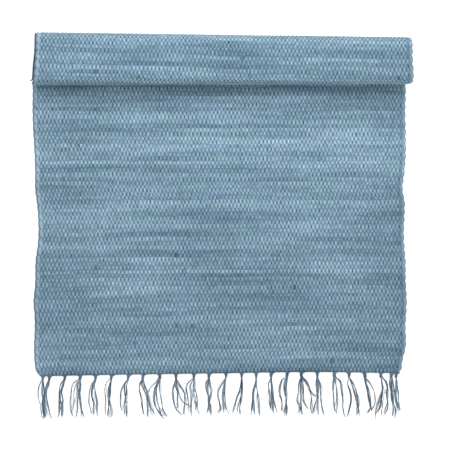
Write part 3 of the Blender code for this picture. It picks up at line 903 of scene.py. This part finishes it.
def hem_tubes():
    """Two picks of warp thread woven along the hem, which hold the last strip of rag."""
    share = np.linspace(HEM_THREADS_END, 1 - HEM_THREADS_END, 2 * WARPS + 1)
    x = HEM_MIDDLE[0] + (share - 0.5) * (CLOTH_WIDTH - 2 * HEM_THREADS_DRAWN)
    inwards, reach = HEM_THREADS_ROUND
    corner = inwards * np.exp(-np.minimum(share, 1 - share) * CLOTH_WIDTH / reach)
    low, rise, wave = HEM_THREADS_HIGH
    radius = np.full(len(x), HEM_THREAD)
    tubes = []
    for row, inside in enumerate(HEM_THREADS_IN):
        height = (low + rise * row + wave * np.cos(math.pi * (share * WARPS + row))) * MM
        path = np.stack([x, hem_y(x) + inside + corner, height], axis=1)
        tubes.append(Tube(path, radius, radius, THREAD_SIDES, HEM_THREADS_TONE))
    return tubes


def loose_warp_tube():
    """The first warp of the left selvedge along the roll's end, and its broken end that stands clear."""
    turns = np.linspace(LOOSE_WARP[0].turns, LOOSE_WARP[-1].turns, LOOSE_RINGS)
    out = smooth_through(*zip(*LOOSE_WARP), turns)
    edge = smooth_through([row.turns for row in ROLLED_EDGES], [row.left for row in ROLLED_EDGES], turns)
    axis, _, high, mean, _ = winding(0.0)
    behind, below = wound(0.0, turns)
    x = HEM_MIDDLE[0] - CLOTH_WIDTH / 2 + (edge - out) * MM
    path = np.stack([x, HEM_MIDDLE[1] + axis + behind, CLOTH_THICK / 2 + high * mean - below], axis=1)
    path = np.concatenate([path, path[-1] + np.outer(LOOSE_END_STEPS, LOOSE_END)])
    thick = tapered(LOOSE_RADIUS, LOOSE_TAPER, len(path))
    return Tube(path, thick, thick, THREAD_SIDES, 0.0)


def tube_points(tube):
    """A tube's points, ring by ring from its start."""
    ahead = np.gradient(tube.path, axis=0)
    ahead /= np.linalg.norm(ahead, axis=1)[:, None]
    side = np.cross(ahead, (0.0, 0.0, 1.0))
    side /= np.linalg.norm(side, axis=1)[:, None]
    up = np.cross(side, ahead)
    points = []
    for ring, middle in enumerate(tube.path):
        for k in range(tube.sides):
            turned = 2 * math.pi * k / tube.sides
            beside = side[ring] * math.cos(turned) * tube.wide[ring]
            above = up[ring] * math.sin(turned) * tube.high[ring]
            points.append(tuple(middle + beside + above))
    return points


def tube_faces(tube, base, column, columns):
    """A tube's faces, and the place of each of their corners on the map of its twist and on the flat one.

    base is the number of its first point, and column its own column out of so many on the flat map."""
    rings, sides = len(tube.path), tube.sides
    walked = distances(tube.path)
    faces, twist, kept = [], [], []
    for ring in range(rings - 1):
        low, high = base + ring * sides, base + (ring + 1) * sides
        for k in range(sides):
            faces.append((low + k, high + k, high + (k + 1) % sides, low + (k + 1) % sides))
            for step, turn in ((0, 0), (1, 0), (1, 1), (0, 1)):
                around = (k + turn) / sides
                twist.append((around, walked[ring + step] / TWIST))
                across = (column + COLUMN_GAP + (1 - 2 * COLUMN_GAP) * around) / columns
                kept.append((across, COLUMN_START + COLUMN_RUN * (ring + step) / (rings - 1)))
    wide, high = COLUMN_END_RADII
    last = base + (rings - 1) * sides
    for first, order, level in ((base, 1, COLUMN_ENDS[0]), (last, -1, COLUMN_ENDS[1])):
        corners = list(range(sides))[::order]
        faces.append(tuple(first + k for k in corners))
        for k in corners:
            beside, above = math.cos(2 * math.pi * k / sides), math.sin(2 * math.pi * k / sides)
            twist.append((0.5 + TWIST_END * beside, TWIST_END * above))
            kept.append(((column + 0.5 + wide * beside) / columns, level + high * above))
    return faces, twist, kept


def piece_of_tubes(name, tubes):
    """Builds tubes as one piece, with a map of their twist and a flat one with a column for each."""
    points, faces, twist, kept, tones = [], [], [], [], []
    for column, tube in enumerate(tubes):
        more_faces, more_twist, more_kept = tube_faces(tube, len(points), column, len(tubes))
        points += tube_points(tube)
        faces += more_faces
        twist += more_twist
        kept += more_kept
        tones += [tube.tone] * len(more_faces)
    mesh = bpy.data.meshes.new(name)
    mesh.from_pydata(points, [], faces)
    mesh.uv_layers.new(name="Twist").data.foreach_set("uv", np.array(twist).ravel())
    mesh.uv_layers.new(name="OFBake").data.foreach_set("uv", np.array(kept).ravel())
    piece = bpy.data.objects.new(name, mesh)
    bpy.context.scene.collection.objects.link(piece)
    bm = bmesh.new()
    bm.from_mesh(mesh)
    bmesh.ops.recalc_face_normals(bm, faces=bm.faces)
    bm.to_mesh(mesh)
    bm.free()
    mesh.attributes.new("tone", "FLOAT", "FACE").data.foreach_set("value", tones)
    mesh.shade_smooth()
    return piece


# ------------------------------------------------------------------ materials


def srgb(code):
    """A colour's sRGB hex code as linear RGBA."""
    channels = [int(code[k : k + 2], 16) / 255 for k in (0, 2, 4)]
    return (*[c / 12.92 if c <= 0.04045 else ((c + 0.055) / 1.055) ** 2.4 for c in channels], 1)


def add(material, kind, inputs=(), output=0, stops=(), **settings):
    """Adds a node with its settings and links, and returns one of its outputs.

    inputs is in the sockets' order, or by socket: each a value, or another node's output. stops are the
    places and colours of a colour ramp."""
    made = material.node_tree.nodes.new("ShaderNode" + kind)
    for setting, value in settings.items():
        setattr(made, setting, value)
    for socket, value in inputs.items() if isinstance(inputs, dict) else enumerate(inputs):
        if isinstance(value, bpy.types.NodeSocket):
            material.node_tree.links.new(value, made.inputs[socket])
        else:
            made.inputs[socket].default_value = value
    for k, (place, colour) in enumerate(stops):
        if k >= len(made.color_ramp.elements):
            made.color_ramp.elements.new(place)
        made.color_ramp.elements[k].position = place
        made.color_ramp.elements[k].color = colour
    return made.outputs[output]


# Cotton and paper are both cellulose, with the same index of refraction and a faint gloss.
CELLULOSE_IOR = 1.5
FAINT_GLOSS = 0.25


def new_material(name, roughness):
    """A material of cotton or paper, of this roughness, and its shader."""
    material = bpy.data.materials.new(name)
    material.use_nodes = True
    shader = material.node_tree.nodes["Principled BSDF"]
    shader.inputs["Roughness"].default_value = roughness
    shader.inputs["IOR"].default_value = CELLULOSE_IOR
    shader.inputs["Specular IOR Level"].default_value = FAINT_GLOSS
    return material, shader


# How pale the rag is along the cloth, as shares of the common shade at these picks: partly batches of rag,
# and partly painted light. The paler picks from 49 to 61, ahead of the roll, paint a lamp's pool of light.
# The first strip lies packed tight against the hem's threads and is darker: painted shade at the hem's
# rounded edge. The picks from 75 on are the roll's, set paler or darker to paint its lit and shaded sides.
BatchAndLight = namedtuple("BatchAndLight", "pick pale")
BATCHES_AND_PAINTED_LIGHT = (
    BatchAndLight(0, 0.76),
    BatchAndLight(1, 0.92),
    BatchAndLight(2, 0.97),
    BatchAndLight(7, 0.98),
    BatchAndLight(10, 1.00),
    BatchAndLight(12, 0.94),
    BatchAndLight(15, 0.98),
    BatchAndLight(18, 0.97),
    BatchAndLight(21, 0.93),
    BatchAndLight(24, 1.05),
    BatchAndLight(27, 0.99),
    BatchAndLight(30, 1.03),
    BatchAndLight(33, 0.93),
    BatchAndLight(36, 0.96),
    BatchAndLight(45, 0.97),
    BatchAndLight(49, 1.06),
    BatchAndLight(51, 1.13),
    BatchAndLight(54, 1.16),
    BatchAndLight(57, 1.11),
    BatchAndLight(61, 1.06),
    BatchAndLight(66, 1.01),
    BatchAndLight(72, 1.00),
    BatchAndLight(84, 1.06),
    BatchAndLight(90, 1.08),
    BatchAndLight(93, 0.89),
    BatchAndLight(97, 0.91),
    BatchAndLight(100, 1.02),
    BatchAndLight(104, 1.13),
    BatchAndLight(112, 1.00),
)
PALEST = 1.25  # the colour ramp holds the paleness, batches and painted light together, as shares of this

# Blots and streaks in the dye: how many metres wide and picks deep they are, what they follow, and the
# noise's seed and detail. Those that follow the pick or the groove differ from one to the next, so they
# are less than one deep.
Blot = namedtuple("Blot", "name wide deep along seed detail")
BLOTS = (
    Blot("strip", 0.600, 0.171, "pick", 41.0, 1.0),
    Blot("lone", 0.120, 0.137, "pick", 1.0, 1.0),
    Blot("bright", 0.076, 0.265, "pick", 31.0, 1.0),
    Blot("join", 0.013, 0.310, "pick", 53.0, 0.0),
    Blot("few", 0.145, 3.4, "run", 5.0, 2.0),
    Blot("broad", 0.190, 14.0, "run", 9.0, 1.0),
    Blot("lean", 0.070, 3.0, "run", 14.0, 1.0),
    Blot("set_off", 0.140, 0.193, "groove", 21.0, 1.0),
)

# How much paler or darker the blots, the passes and the creases make the rag, the creases by painted shade.
# A streak or a join shows where its noise rises over the first two values, and changes the rag by the third.
NOISE_SPAN = (0.3, 0.7)  # nearly all of a noise's values lie between these
BLOT_STRENGTHS = {"strip": 1.15, "lone": 0.85, "few": 0.3, "broad": 0.75}
BRIGHT_STREAK = (0.68, 0.78, 0.24)
DARK_JOIN = (0.74, 0.80, 0.36)
PASS_TONES = (0.88, 1.12)
CREASE_SHADE_TONES = (0.82, 1.18)

# The rag's dye leans to teal in places and to lavender in others, a little.
RAG_DYES = ((0.34, "839EAA"), (0.46, "859EAC"), (0.56, "869EAE"), (0.70, "899FB2"))
FADE_POWERS = (1.18, 0.92)  # of red and of blue, where green's is 1
DIP_SHADE = "BCCAD4"  # what the rag's colour is multiplied by where it dips: painted shade in the hollows and grooves
# The warp pair's own slate dye where it shows in its hollow, deepened by painted shade: darker than the
# fringe's threads.
WARP_DYE_AND_SHADE = "294355"
FLUFF_HIGH = 0.0004

# The passes. A place over a warp runs from -1, where the rag is deepest under it, to 1, and a place across
# a pick from 0 in its grooves to 1 along its middle.
PICK_SHIFT = 0.16  # a pass lies up to this share of a pick off its pick's middle
SHIFT_SCALE, SHIFT_SEED = 0.8, 3.0  # and that changes over a cell or so of the weave
SET_OFF_SPAN = (0.36, 0.64)  # of its noise
SET_OFF = (0.3, 1.4)  # how sharply a pass is set off from the pick beside it
PASS_ROUND = 1.2  # the power of its fall towards the groove
PASS_SPAN = (-0.8, 0.8)  # the rag rises between these places over a warp
DOT_SPAN = (-0.95, -0.35)  # the warp pair shows below these
DOT_MIDDLE = (0.45, 0.98)  # and most at the middle of the pick, above these
DOT_LEAST = 0.1
DOT_TONES = (0.25, 0.95)  # how much of a warp pair is bared in its hollow
DOT_SEED = 7.0

# The selvedges, with painted shade where the first warp pulls the weft down, where the loops turn down at
# the edge, along their outer rim and in the notches between them. PULL, LOOP_EDGE and RIM_DARK hold the
# left one's value and what the right one has more. Spans inwards are shares of the band of bare loops, from
# its outer edge. Past it they are in warps.
BARE_SPAN = (-0.35, 0.1)  # past the band: the bare loops give way to the weave
PULL_MIDDLE = 0.5  # past the band: where the first warp pulls the weft down most
PULL_SPAN = (0.2, 1.0)  # to either side of that place
PULL = (0.1, 0.75)
LOOP_SPAN = (0.0, 0.6)  # inwards: a loop rises from its turned-down edge
LOOP_EDGE = (0.25, 0.45)
LOOP_TOP = 0.9
RIM_SPAN = (0.0, 0.15)  # inwards: a loop's outer rim, darkened as painted shade
RIM_DARK = (0.35, -0.2)
NOTCH_FULL = 0.45  # the notch between two loops is where they are less full than this
NOTCH_SPAN = (0.1, 0.9)  # inwards
NOTCH_DEEP = 0.9
NOTCH_DARK = 0.5

SMOOTH = {"interpolation_type": "SMOOTHSTEP"}

Selvedge = namedtuple("Selvedge", "bare strip on_right past_band inwards fullness")


def find_selvedge(node, s, t, pick):
    """Where the weft is bare outside the first warp, and the loops that it turns back in there.

    It turns at every second pick: the left selvedge's loops part where t is odd, and the right one's
    where it is even."""
    from_right = node("Math", (float(WARPS), s), operation="SUBTRACT")
    near = node("Math", (s, from_right), operation="MINIMUM")
    on_right = node("Math", (s, WARPS / 2), operation="GREATER_THAN")
    band = node("Mix", {0: on_right, 2: LEFT_BAND_WARPS, 3: RIGHT_BAND_WARPS})
    past_band = node("Math", (near, band), operation="SUBTRACT")
    inwards = node("Math", (near, band), operation="DIVIDE")
    bare = node("MapRange", (past_band, *BARE_SPAN, 1.0, 0.0), **SMOOTH)
    loops = node("Math", (t, on_right), operation="ADD")
    swing = node("Math", (loops, math.pi / 2), operation="MULTIPLY")
    fullness = node("Math", (swing,), operation="COSINE")
    fullness = node("Math", (fullness,), operation="ABSOLUTE")
    pair = node("Math", (loops, 2.0), operation="SNAP")
    strip = node("Mix", {0: bare, 2: pick, 3: pair})
    return Selvedge(bare, strip, on_right, past_band, inwards, fullness)


def find_passes(node, s, t, pick):
    """Where the rag passes over the warp (1) and under it (-1), and the swell of each pick."""
    facing = node("Attribute", attribute_name="facing", output="Fac")
    half_turns = node("Math", (pick, math.pi), operation="MULTIPLY")
    swap = node("Math", (half_turns,), operation="COSINE")
    side = node("Math", (swap, facing), operation="MULTIPLY")
    across = node("Math", (s, math.pi), operation="MULTIPLY")
    wave = node("Math", (across,), operation="SINE")
    over = node("Math", (wave, side), operation="MULTIPLY")
    nearby = node("CombineXYZ", (s, t))
    sockets = {"Vector": nearby, "W": SHIFT_SEED, "Scale": SHIFT_SCALE, "Detail": 0.0}
    shift = node("TexNoise", sockets, noise_dimensions="4D")
    shift = node("MapRange", (shift, *NOISE_SPAN, -PICK_SHIFT, PICK_SHIFT))
    up = node("Math", (t, shift), operation="ADD")
    up = node("Math", (up, math.pi), operation="MULTIPLY")
    swell = node("Math", (up,), operation="SINE")
    crown = node("Math", (swell,), operation="ABSOLUTE")
    return over, crown


def find_blots(node, s, follows):
    """The noise of each of the blots and streaks, by its name."""
    blots = {}
    for blot in BLOTS:
        down = node("Math", (follows[blot.along], 1 / blot.deep), operation="MULTIPLY")
        sideways = node("Math", (s, CLOTH_WIDTH / WARPS / blot.wide), operation="MULTIPLY")
        spot = node("CombineXYZ", (sideways, down))
        sockets = {"Vector": spot, "W": blot.seed, "Scale": 1.0, "Detail": blot.detail}
        blots[blot.name] = node("TexNoise", sockets, noise_dimensions="4D")
    return blots


def find_paleness(node, t, cell, bare, blots):
    """How pale each pass is: its batch of rag with the painted light along the cloth, its streaks and
    blots, and a little chance of its own.
    """
    along_cloth = node("Math", (t, 1 / PICKS), operation="MULTIPLY")
    greys = [(batch_and_light.pick / PICKS, (batch_and_light.pale / PALEST,) * 3 + (1,)) for batch_and_light in BATCHES_AND_PAINTED_LIGHT]
    batch_and_light = node("ValToRGB", (along_cloth,), stops=greys)
    pale = node("Math", (batch_and_light, PALEST), operation="MULTIPLY")
    for name, strength in BLOT_STRENGTHS.items():
        pale = node("Math", (blots[name], strength, pale), operation="MULTIPLY_ADD")
    pale = node("Math", (pale, sum(BLOT_STRENGTHS.values()) / 2), operation="SUBTRACT")
    for name, (start, full, strength), operation in (
        ("bright", BRIGHT_STREAK, "ADD"),
        ("join", DARK_JOIN, "SUBTRACT"),
    ):
        shown = node("MapRange", (blots[name], start, full, 0.0, strength), **SMOOTH)
        pale = node("Math", (pale, shown), operation=operation)
    chance = node("TexWhiteNoise", {"Vector": cell}, noise_dimensions="2D")
    own = node("MapRange", (chance, 0.0, 1.0, *PASS_TONES))
    own = node("Mix", {0: bare, 2: own, 3: 1.0})
    return node("Math", (pale, own), operation="MULTIPLY")


def find_notch(node, selvedge):
    """The notch between two loops, deepest at the cloth's edge; it darkens the colour as painted shade."""
    notch = node("MapRange", (selvedge.fullness, 0.0, NOTCH_FULL, 1.0, 0.0), **SMOOTH)
    outer = node("MapRange", (selvedge.inwards, *NOTCH_SPAN, NOTCH_DEEP, 0.0), **SMOOTH)
    return node("Math", (notch, outer), operation="MULTIPLY")


def find_rise(node, over, crown, set_off, selvedge, notch):
    """How high the rag lies, from 0 in a hollow to 1 on a pass. Where it lies low the colour is darkened,
    as painted shade.

    Each pass bulges between the warps, and is set off more or less sharply from the pick beside it, with
    painted shade in the groove between. The first warp pulls the weft down, more so on the right, and the
    painted shade deepens there. Outside it the loops turn down at the edge, painted darker there, and the
    notches between them are painted darker still."""
    set_off = node("MapRange", (set_off, *SET_OFF_SPAN, *SET_OFF), **SMOOTH)
    rounded = node("Math", (crown, PASS_ROUND), operation="POWER")
    fallen = node("Math", (1.0, rounded), operation="SUBTRACT")
    fallen = node("Math", (set_off, fallen), operation="MULTIPLY")
    top = node("Math", (1.0, fallen), operation="SUBTRACT")
    shown = node("MapRange", (over, *PASS_SPAN, 0.0, 1.0), **SMOOTH)
    rise = node("Math", (shown, top), operation="MULTIPLY")

    from_first = node("Math", (selvedge.past_band, PULL_MIDDLE), operation="SUBTRACT")
    from_first = node("Math", (from_first,), operation="ABSOLUTE")
    pulled = node("MapRange", (from_first, *PULL_SPAN, 1.0, 0.0), **SMOOTH)
    left, more = PULL
    pull = node("Math", (selvedge.on_right, more, left), operation="MULTIPLY_ADD")
    pulled = node("Math", (pulled, pull), operation="MULTIPLY")
    level = node("Math", (1.0, pulled), operation="SUBTRACT")
    rise = node("Math", (rise, level), operation="MULTIPLY")

    left, more = LOOP_EDGE
    edge = node("Math", (selvedge.on_right, more, left), operation="MULTIPLY_ADD")
    loop = node("MapRange", (selvedge.inwards, *LOOP_SPAN, edge, LOOP_TOP), **SMOOTH)
    loop = node("Math", (loop, notch), operation="SUBTRACT")
    return node("Mix", {0: selvedge.bare, 2: rise, 3: loop})


def find_shade(node, over, crown, cell, selvedge, notch):
    """Where it is dark: the warp pair in its hollow, bared more in some than in others, in its dye deepened
    by painted shade, and the painted shade of the loops' outer rim and of the notches between them."""
    dot = node("MapRange", (over, *DOT_SPAN, 1.0, 0.0), **SMOOTH)
    mid_pick = node("MapRange", (crown, *DOT_MIDDLE, DOT_LEAST, 1.0), **SMOOTH)
    dot = node("Math", (dot, mid_pick), operation="MULTIPLY")
    woven = node("Math", (1.0, selvedge.bare), operation="SUBTRACT")
    dot = node("Math", (dot, woven), operation="MULTIPLY")
    chance = node("TexWhiteNoise", {"Vector": cell, "W": DOT_SEED}, noise_dimensions="4D")
    bared = node("MapRange", (chance, 0.0, 1.0, *DOT_TONES))
    dot = node("Math", (dot, bared), operation="MULTIPLY")
    left, more = RIM_DARK
    rim = node("Math", (selvedge.on_right, more, left), operation="MULTIPLY_ADD")
    rim = node("MapRange", (selvedge.inwards, *RIM_SPAN, rim, 0.0), **SMOOTH)
    gap = node("Math", (notch, NOTCH_DARK), operation="MULTIPLY")
    gap = node("Math", (gap, selvedge.bare), operation="MULTIPLY")
    shade = node("Math", (dot, rim), operation="MAXIMUM")
    return node("Math", (shade, gap), operation="MAXIMUM")


def rag_weave():
    """Woven cotton rag: matt, piece-dyed strips over slate warp pairs.

    It gives the eye pale oval passes laid like bricks, dark dots of warp between them, streaks of faded
    and of deeper dye along the picks, and a smooth selvedge with a notch at each loop. Painted shade darkens
    the hollows and grooves of the weave, the warp dots, and the selvedge's rims and notches, and painted
    light makes some picks paler or darker along the cloth."""
    material, shader = new_material("woven_cotton_rag", 0.92)
    node = partial(add, material)
    weave = node("UVMap", uv_map="Weave")
    s, t = (node("SeparateXYZ", (weave,), output=k) for k in (0, 1))
    pick = node("Math", (t,), operation="FLOOR")
    warp = node("Math", (s,), operation="FLOOR")
    cell = node("CombineXYZ", (warp, pick))
    groove = node("Math", (t,), operation="ROUND")
    selvedge = find_selvedge(node, s, t, pick)
    notch = find_notch(node, selvedge)
    over, crown = find_passes(node, s, t, pick)
    blots = find_blots(node, s, {"pick": selvedge.strip, "groove": groove, "run": t})

    # Creases and fluff of torn cotton show in the bump below; the same noise darkens the colour where the
    # bump lies low and lightens it where it stands high, as painted shade in the creases.
    place = node("TexCoord", output="Object")
    fluff = node("TexNoise", {"Vector": place, "Scale": 1 / FLUFF, "Detail": 3.0})
    crease = node("MapRange", (fluff, *NOISE_SPAN, *CREASE_SHADE_TONES))
    pale = find_paleness(node, t, cell, selvedge.bare, blots)
    pale = node("Math", (pale, crease), operation="MULTIPLY")

    # A paler pass has lost more of its blue, as faded dye does: red grows faster with paleness, and blue
    # slower.
    dye = node("ValToRGB", (blots["lean"],), stops=[(at, srgb(code)) for at, code in RAG_DYES])
    red, blue = (node("Math", (pale, power), operation="POWER") for power in FADE_POWERS)
    fade = node("CombineXYZ", (red, pale, blue))
    rag = node("VectorMath", (dye, fade), operation="MULTIPLY")

    rise = find_rise(node, over, crown, blots["set_off"], selvedge, notch)
    shade = find_shade(node, over, crown, cell, selvedge, notch)
    # Where the rag lies low it is multiplied towards the dip's colour: painted shade in the weave's hollows
    # and grooves, at the first warp's pull and at the loops' turned-down edges.
    dip = srgb(DIP_SHADE)
    hollow = node("Mix", {0: 1.0, 6: rag, 7: dip}, output=2, data_type="RGBA", blend_type="MULTIPLY")
    rag = node("Mix", {0: rise, 6: hollow, 7: rag}, output=2, data_type="RGBA")
    # The warp dots, loop rims and notches take the warp's dark colour: its dye deepened by painted shade.
    colour = node("Mix", {0: shade, 6: rag, 7: srgb(WARP_DYE_AND_SHADE)}, output=2, data_type="RGBA")
    material.node_tree.links.new(colour, shader.inputs["Base Color"])
    bump = node("Bump", {"Strength": 0.5, "Distance": FLUFF_HIGH, "Height": fluff})
    material.node_tree.links.new(bump, shader.inputs["Normal"])
    return material


# A thread's dye by its tone, from near black to washed-out blue.
THREAD_DYES = ((0.0, "222E3A"), (0.3, "4F6373"), (0.65, "6F8697"), (1.0, "A3B4C0"))
WORN_TONES = (0.8, 1.25)
PLY_SHADE_TONES = (0.55, 1.05)  # painted shade in the groove between two plies, and the full tone on a ply
PLY_FULL = 0.7  # as pale as it gets from this share of its height on
PLY_HIGH = 0.0002


def twisted_cotton():
    """Cotton warp thread: matt, two plies twisted together, dyed in the hank.

    It gives the eye thin slate lines, each of its own tone, with fine slanting grooves between the plies,
    darkened as painted shade."""
    material, shader = new_material("twisted_cotton_thread", 0.9)
    node = partial(add, material)
    twist = node("UVMap", uv_map="Twist")
    around, along = (node("SeparateXYZ", (twist,), output=k) for k in (0, 1))
    lay = node("Math", (around, along), operation="SUBTRACT")
    turned = node("Math", (lay, 2 * math.pi), operation="MULTIPLY")
    ply = node("Math", (turned,), operation="SINE")
    ply = node("Math", (ply,), operation="ABSOLUTE")
    tone = node("Attribute", attribute_name="tone", output="Fac")
    dye = node("ValToRGB", (tone,), stops=[(at, srgb(code)) for at, code in THREAD_DYES])
    place = node("TexCoord", output="Object")
    blotch = node("TexNoise", {"Vector": place, "Scale": 1 / THREAD_BLOTCH, "Detail": 2.0})
    worn = node("MapRange", (blotch, *NOISE_SPAN, *WORN_TONES))
    # Darker in the groove between two plies: painted shade.
    groove = node("MapRange", (ply, 0.0, PLY_FULL, *PLY_SHADE_TONES))
    shade = node("Math", (worn, groove), operation="MULTIPLY")
    colour = node("VectorMath", {0: dye, "Scale": shade}, operation="SCALE")
    material.node_tree.links.new(colour, shader.inputs["Base Color"])
    bump = node("Bump", {"Strength": 0.8, "Distance": PLY_HIGH, "Height": ply})
    material.node_tree.links.new(bump, shader.inputs["Normal"])
    return material


def backdrop_paper():
    """Uncoated white paper: matt, with no pattern.

    It gives the eye a plain ground for the rug's outline, and is lit a little from behind too, so that it
    stays white beside the roll."""
    material, shader = new_material("pale_backdrop_paper", 0.9)
    shader.inputs["Base Color"].default_value = srgb("F6F6F6")
    shader.inputs["Emission Color"].default_value = srgb("FFFFFF")
    shader.inputs["Emission Strength"].default_value = BACK_LIGHT
    return material


# ------------------------------------------------------------------ building the rug


def dress(piece, material, node):
    """Gives a piece its material, hangs it on the root, and hides the part's node that it stands for."""
    piece.data.materials.append(material)
    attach(piece, "root")
    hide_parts(node)


def build_threads():
    """The fringe's threads and knots, the hem's threads and the selvedge's loose one, by cloth band."""
    cotton = twisted_cotton()
    fringe = []
    for name, tubes in (
        ("fringe_threads", thread_tubes()),
        ("fringe_knots", knot_tubes()),
        ("hem_threads", hem_tubes()),
    ):
        piece = piece_of_tubes(name, tubes)
        dress(piece, cotton, "fringe")
        fringe.append(piece)
    loose = piece_of_tubes("loose_warp", [loose_warp_tube()])
    dress(loose, cotton, "rug")
    return {"cloth_hem": fringe, "cloth_roll": [loose]}


def build_cloth(threads):
    """The cloth's bands, each given the woven rag; the threads that go with them are passed in but not used.
    """
    weave = rag_weave()
    lines = pick_lines()
    for band in BANDS:
        bpy.ops.object.select_all(action="DESELECT")
        piece = cloth_band(band)
        piece.data.shade_smooth()
        piece.data.set_sharp_from_angle(angle=SHARP)
        dress(piece, weave, "rug")


# ------------------------------------------------------------------ floor, light and camera

FLOOR_SIDE = 6.0
FLOOR_BELOW = 0.0003  # a hair under the rug, so that the two faces don't meet
CAMERA_HEIGHT = 3.0
CAMERA_SEES = 20.0
SENSOR = 36.0
VIEW_MIDDLE = on_floor(PHOTO_PIXELS / 2, PHOTO_PIXELS / 2)
LAMP_AT = (0.0, 0.45, 0.70)
LAMP_SIZE = (0.80, 0.40)
LAMP_ENERGY = 4.2
SKY_STRENGTH = 0.93
BACK_LIGHT = 0.3


def build_studio():
    """A pale paper floor, an even white sky and one soft lamp beyond the roll."""
    bpy.ops.mesh.primitive_plane_add(size=FLOOR_SIDE, location=(0, 0, -FLOOR_BELOW))
    floor = bpy.context.object
    floor.name = "floor"
    floor.data.materials.append(backdrop_paper())
    world = bpy.data.worlds.new("studio")
    world.use_nodes = True
    sky = world.node_tree.nodes["Background"]
    sky.inputs["Color"].default_value = srgb("FFFFFF")
    sky.inputs["Strength"].default_value = SKY_STRENGTH
    bpy.context.scene.world = world
    bpy.ops.object.light_add(type="AREA", location=LAMP_AT)
    lamp = bpy.context.object
    lamp.data.shape = "RECTANGLE"
    lamp.data.size, lamp.data.size_y = LAMP_SIZE
    lamp.data.energy = LAMP_ENERGY
    lamp.visible_camera = False
    aim = Vector((*VIEW_MIDDLE, 0)) - Vector(LAMP_AT)
    lamp.rotation_euler = aim.to_track_quat("-Z", "Y").to_euler()


def build_camera():
    """A camera that looks straight down, as the photograph's does, at its scale."""
    bpy.ops.object.camera_add(location=(*VIEW_MIDDLE, CAMERA_HEIGHT), rotation=(0, 0, 0))
    camera = bpy.context.object
    camera.data.sensor_width = SENSOR
    camera.data.lens = SENSOR * CAMERA_HEIGHT / (PHOTO_PIXELS * MM_PER_PIXEL * MM)
    camera.data.clip_end = CAMERA_SEES
    bpy.context.scene.camera = camera
    bpy.context.scene.view_settings.view_transform = "Standard"


def main():
    """Builds the rug and its studio."""
    build_cloth(build_threads())
    build_studio()
    build_camera()


main()
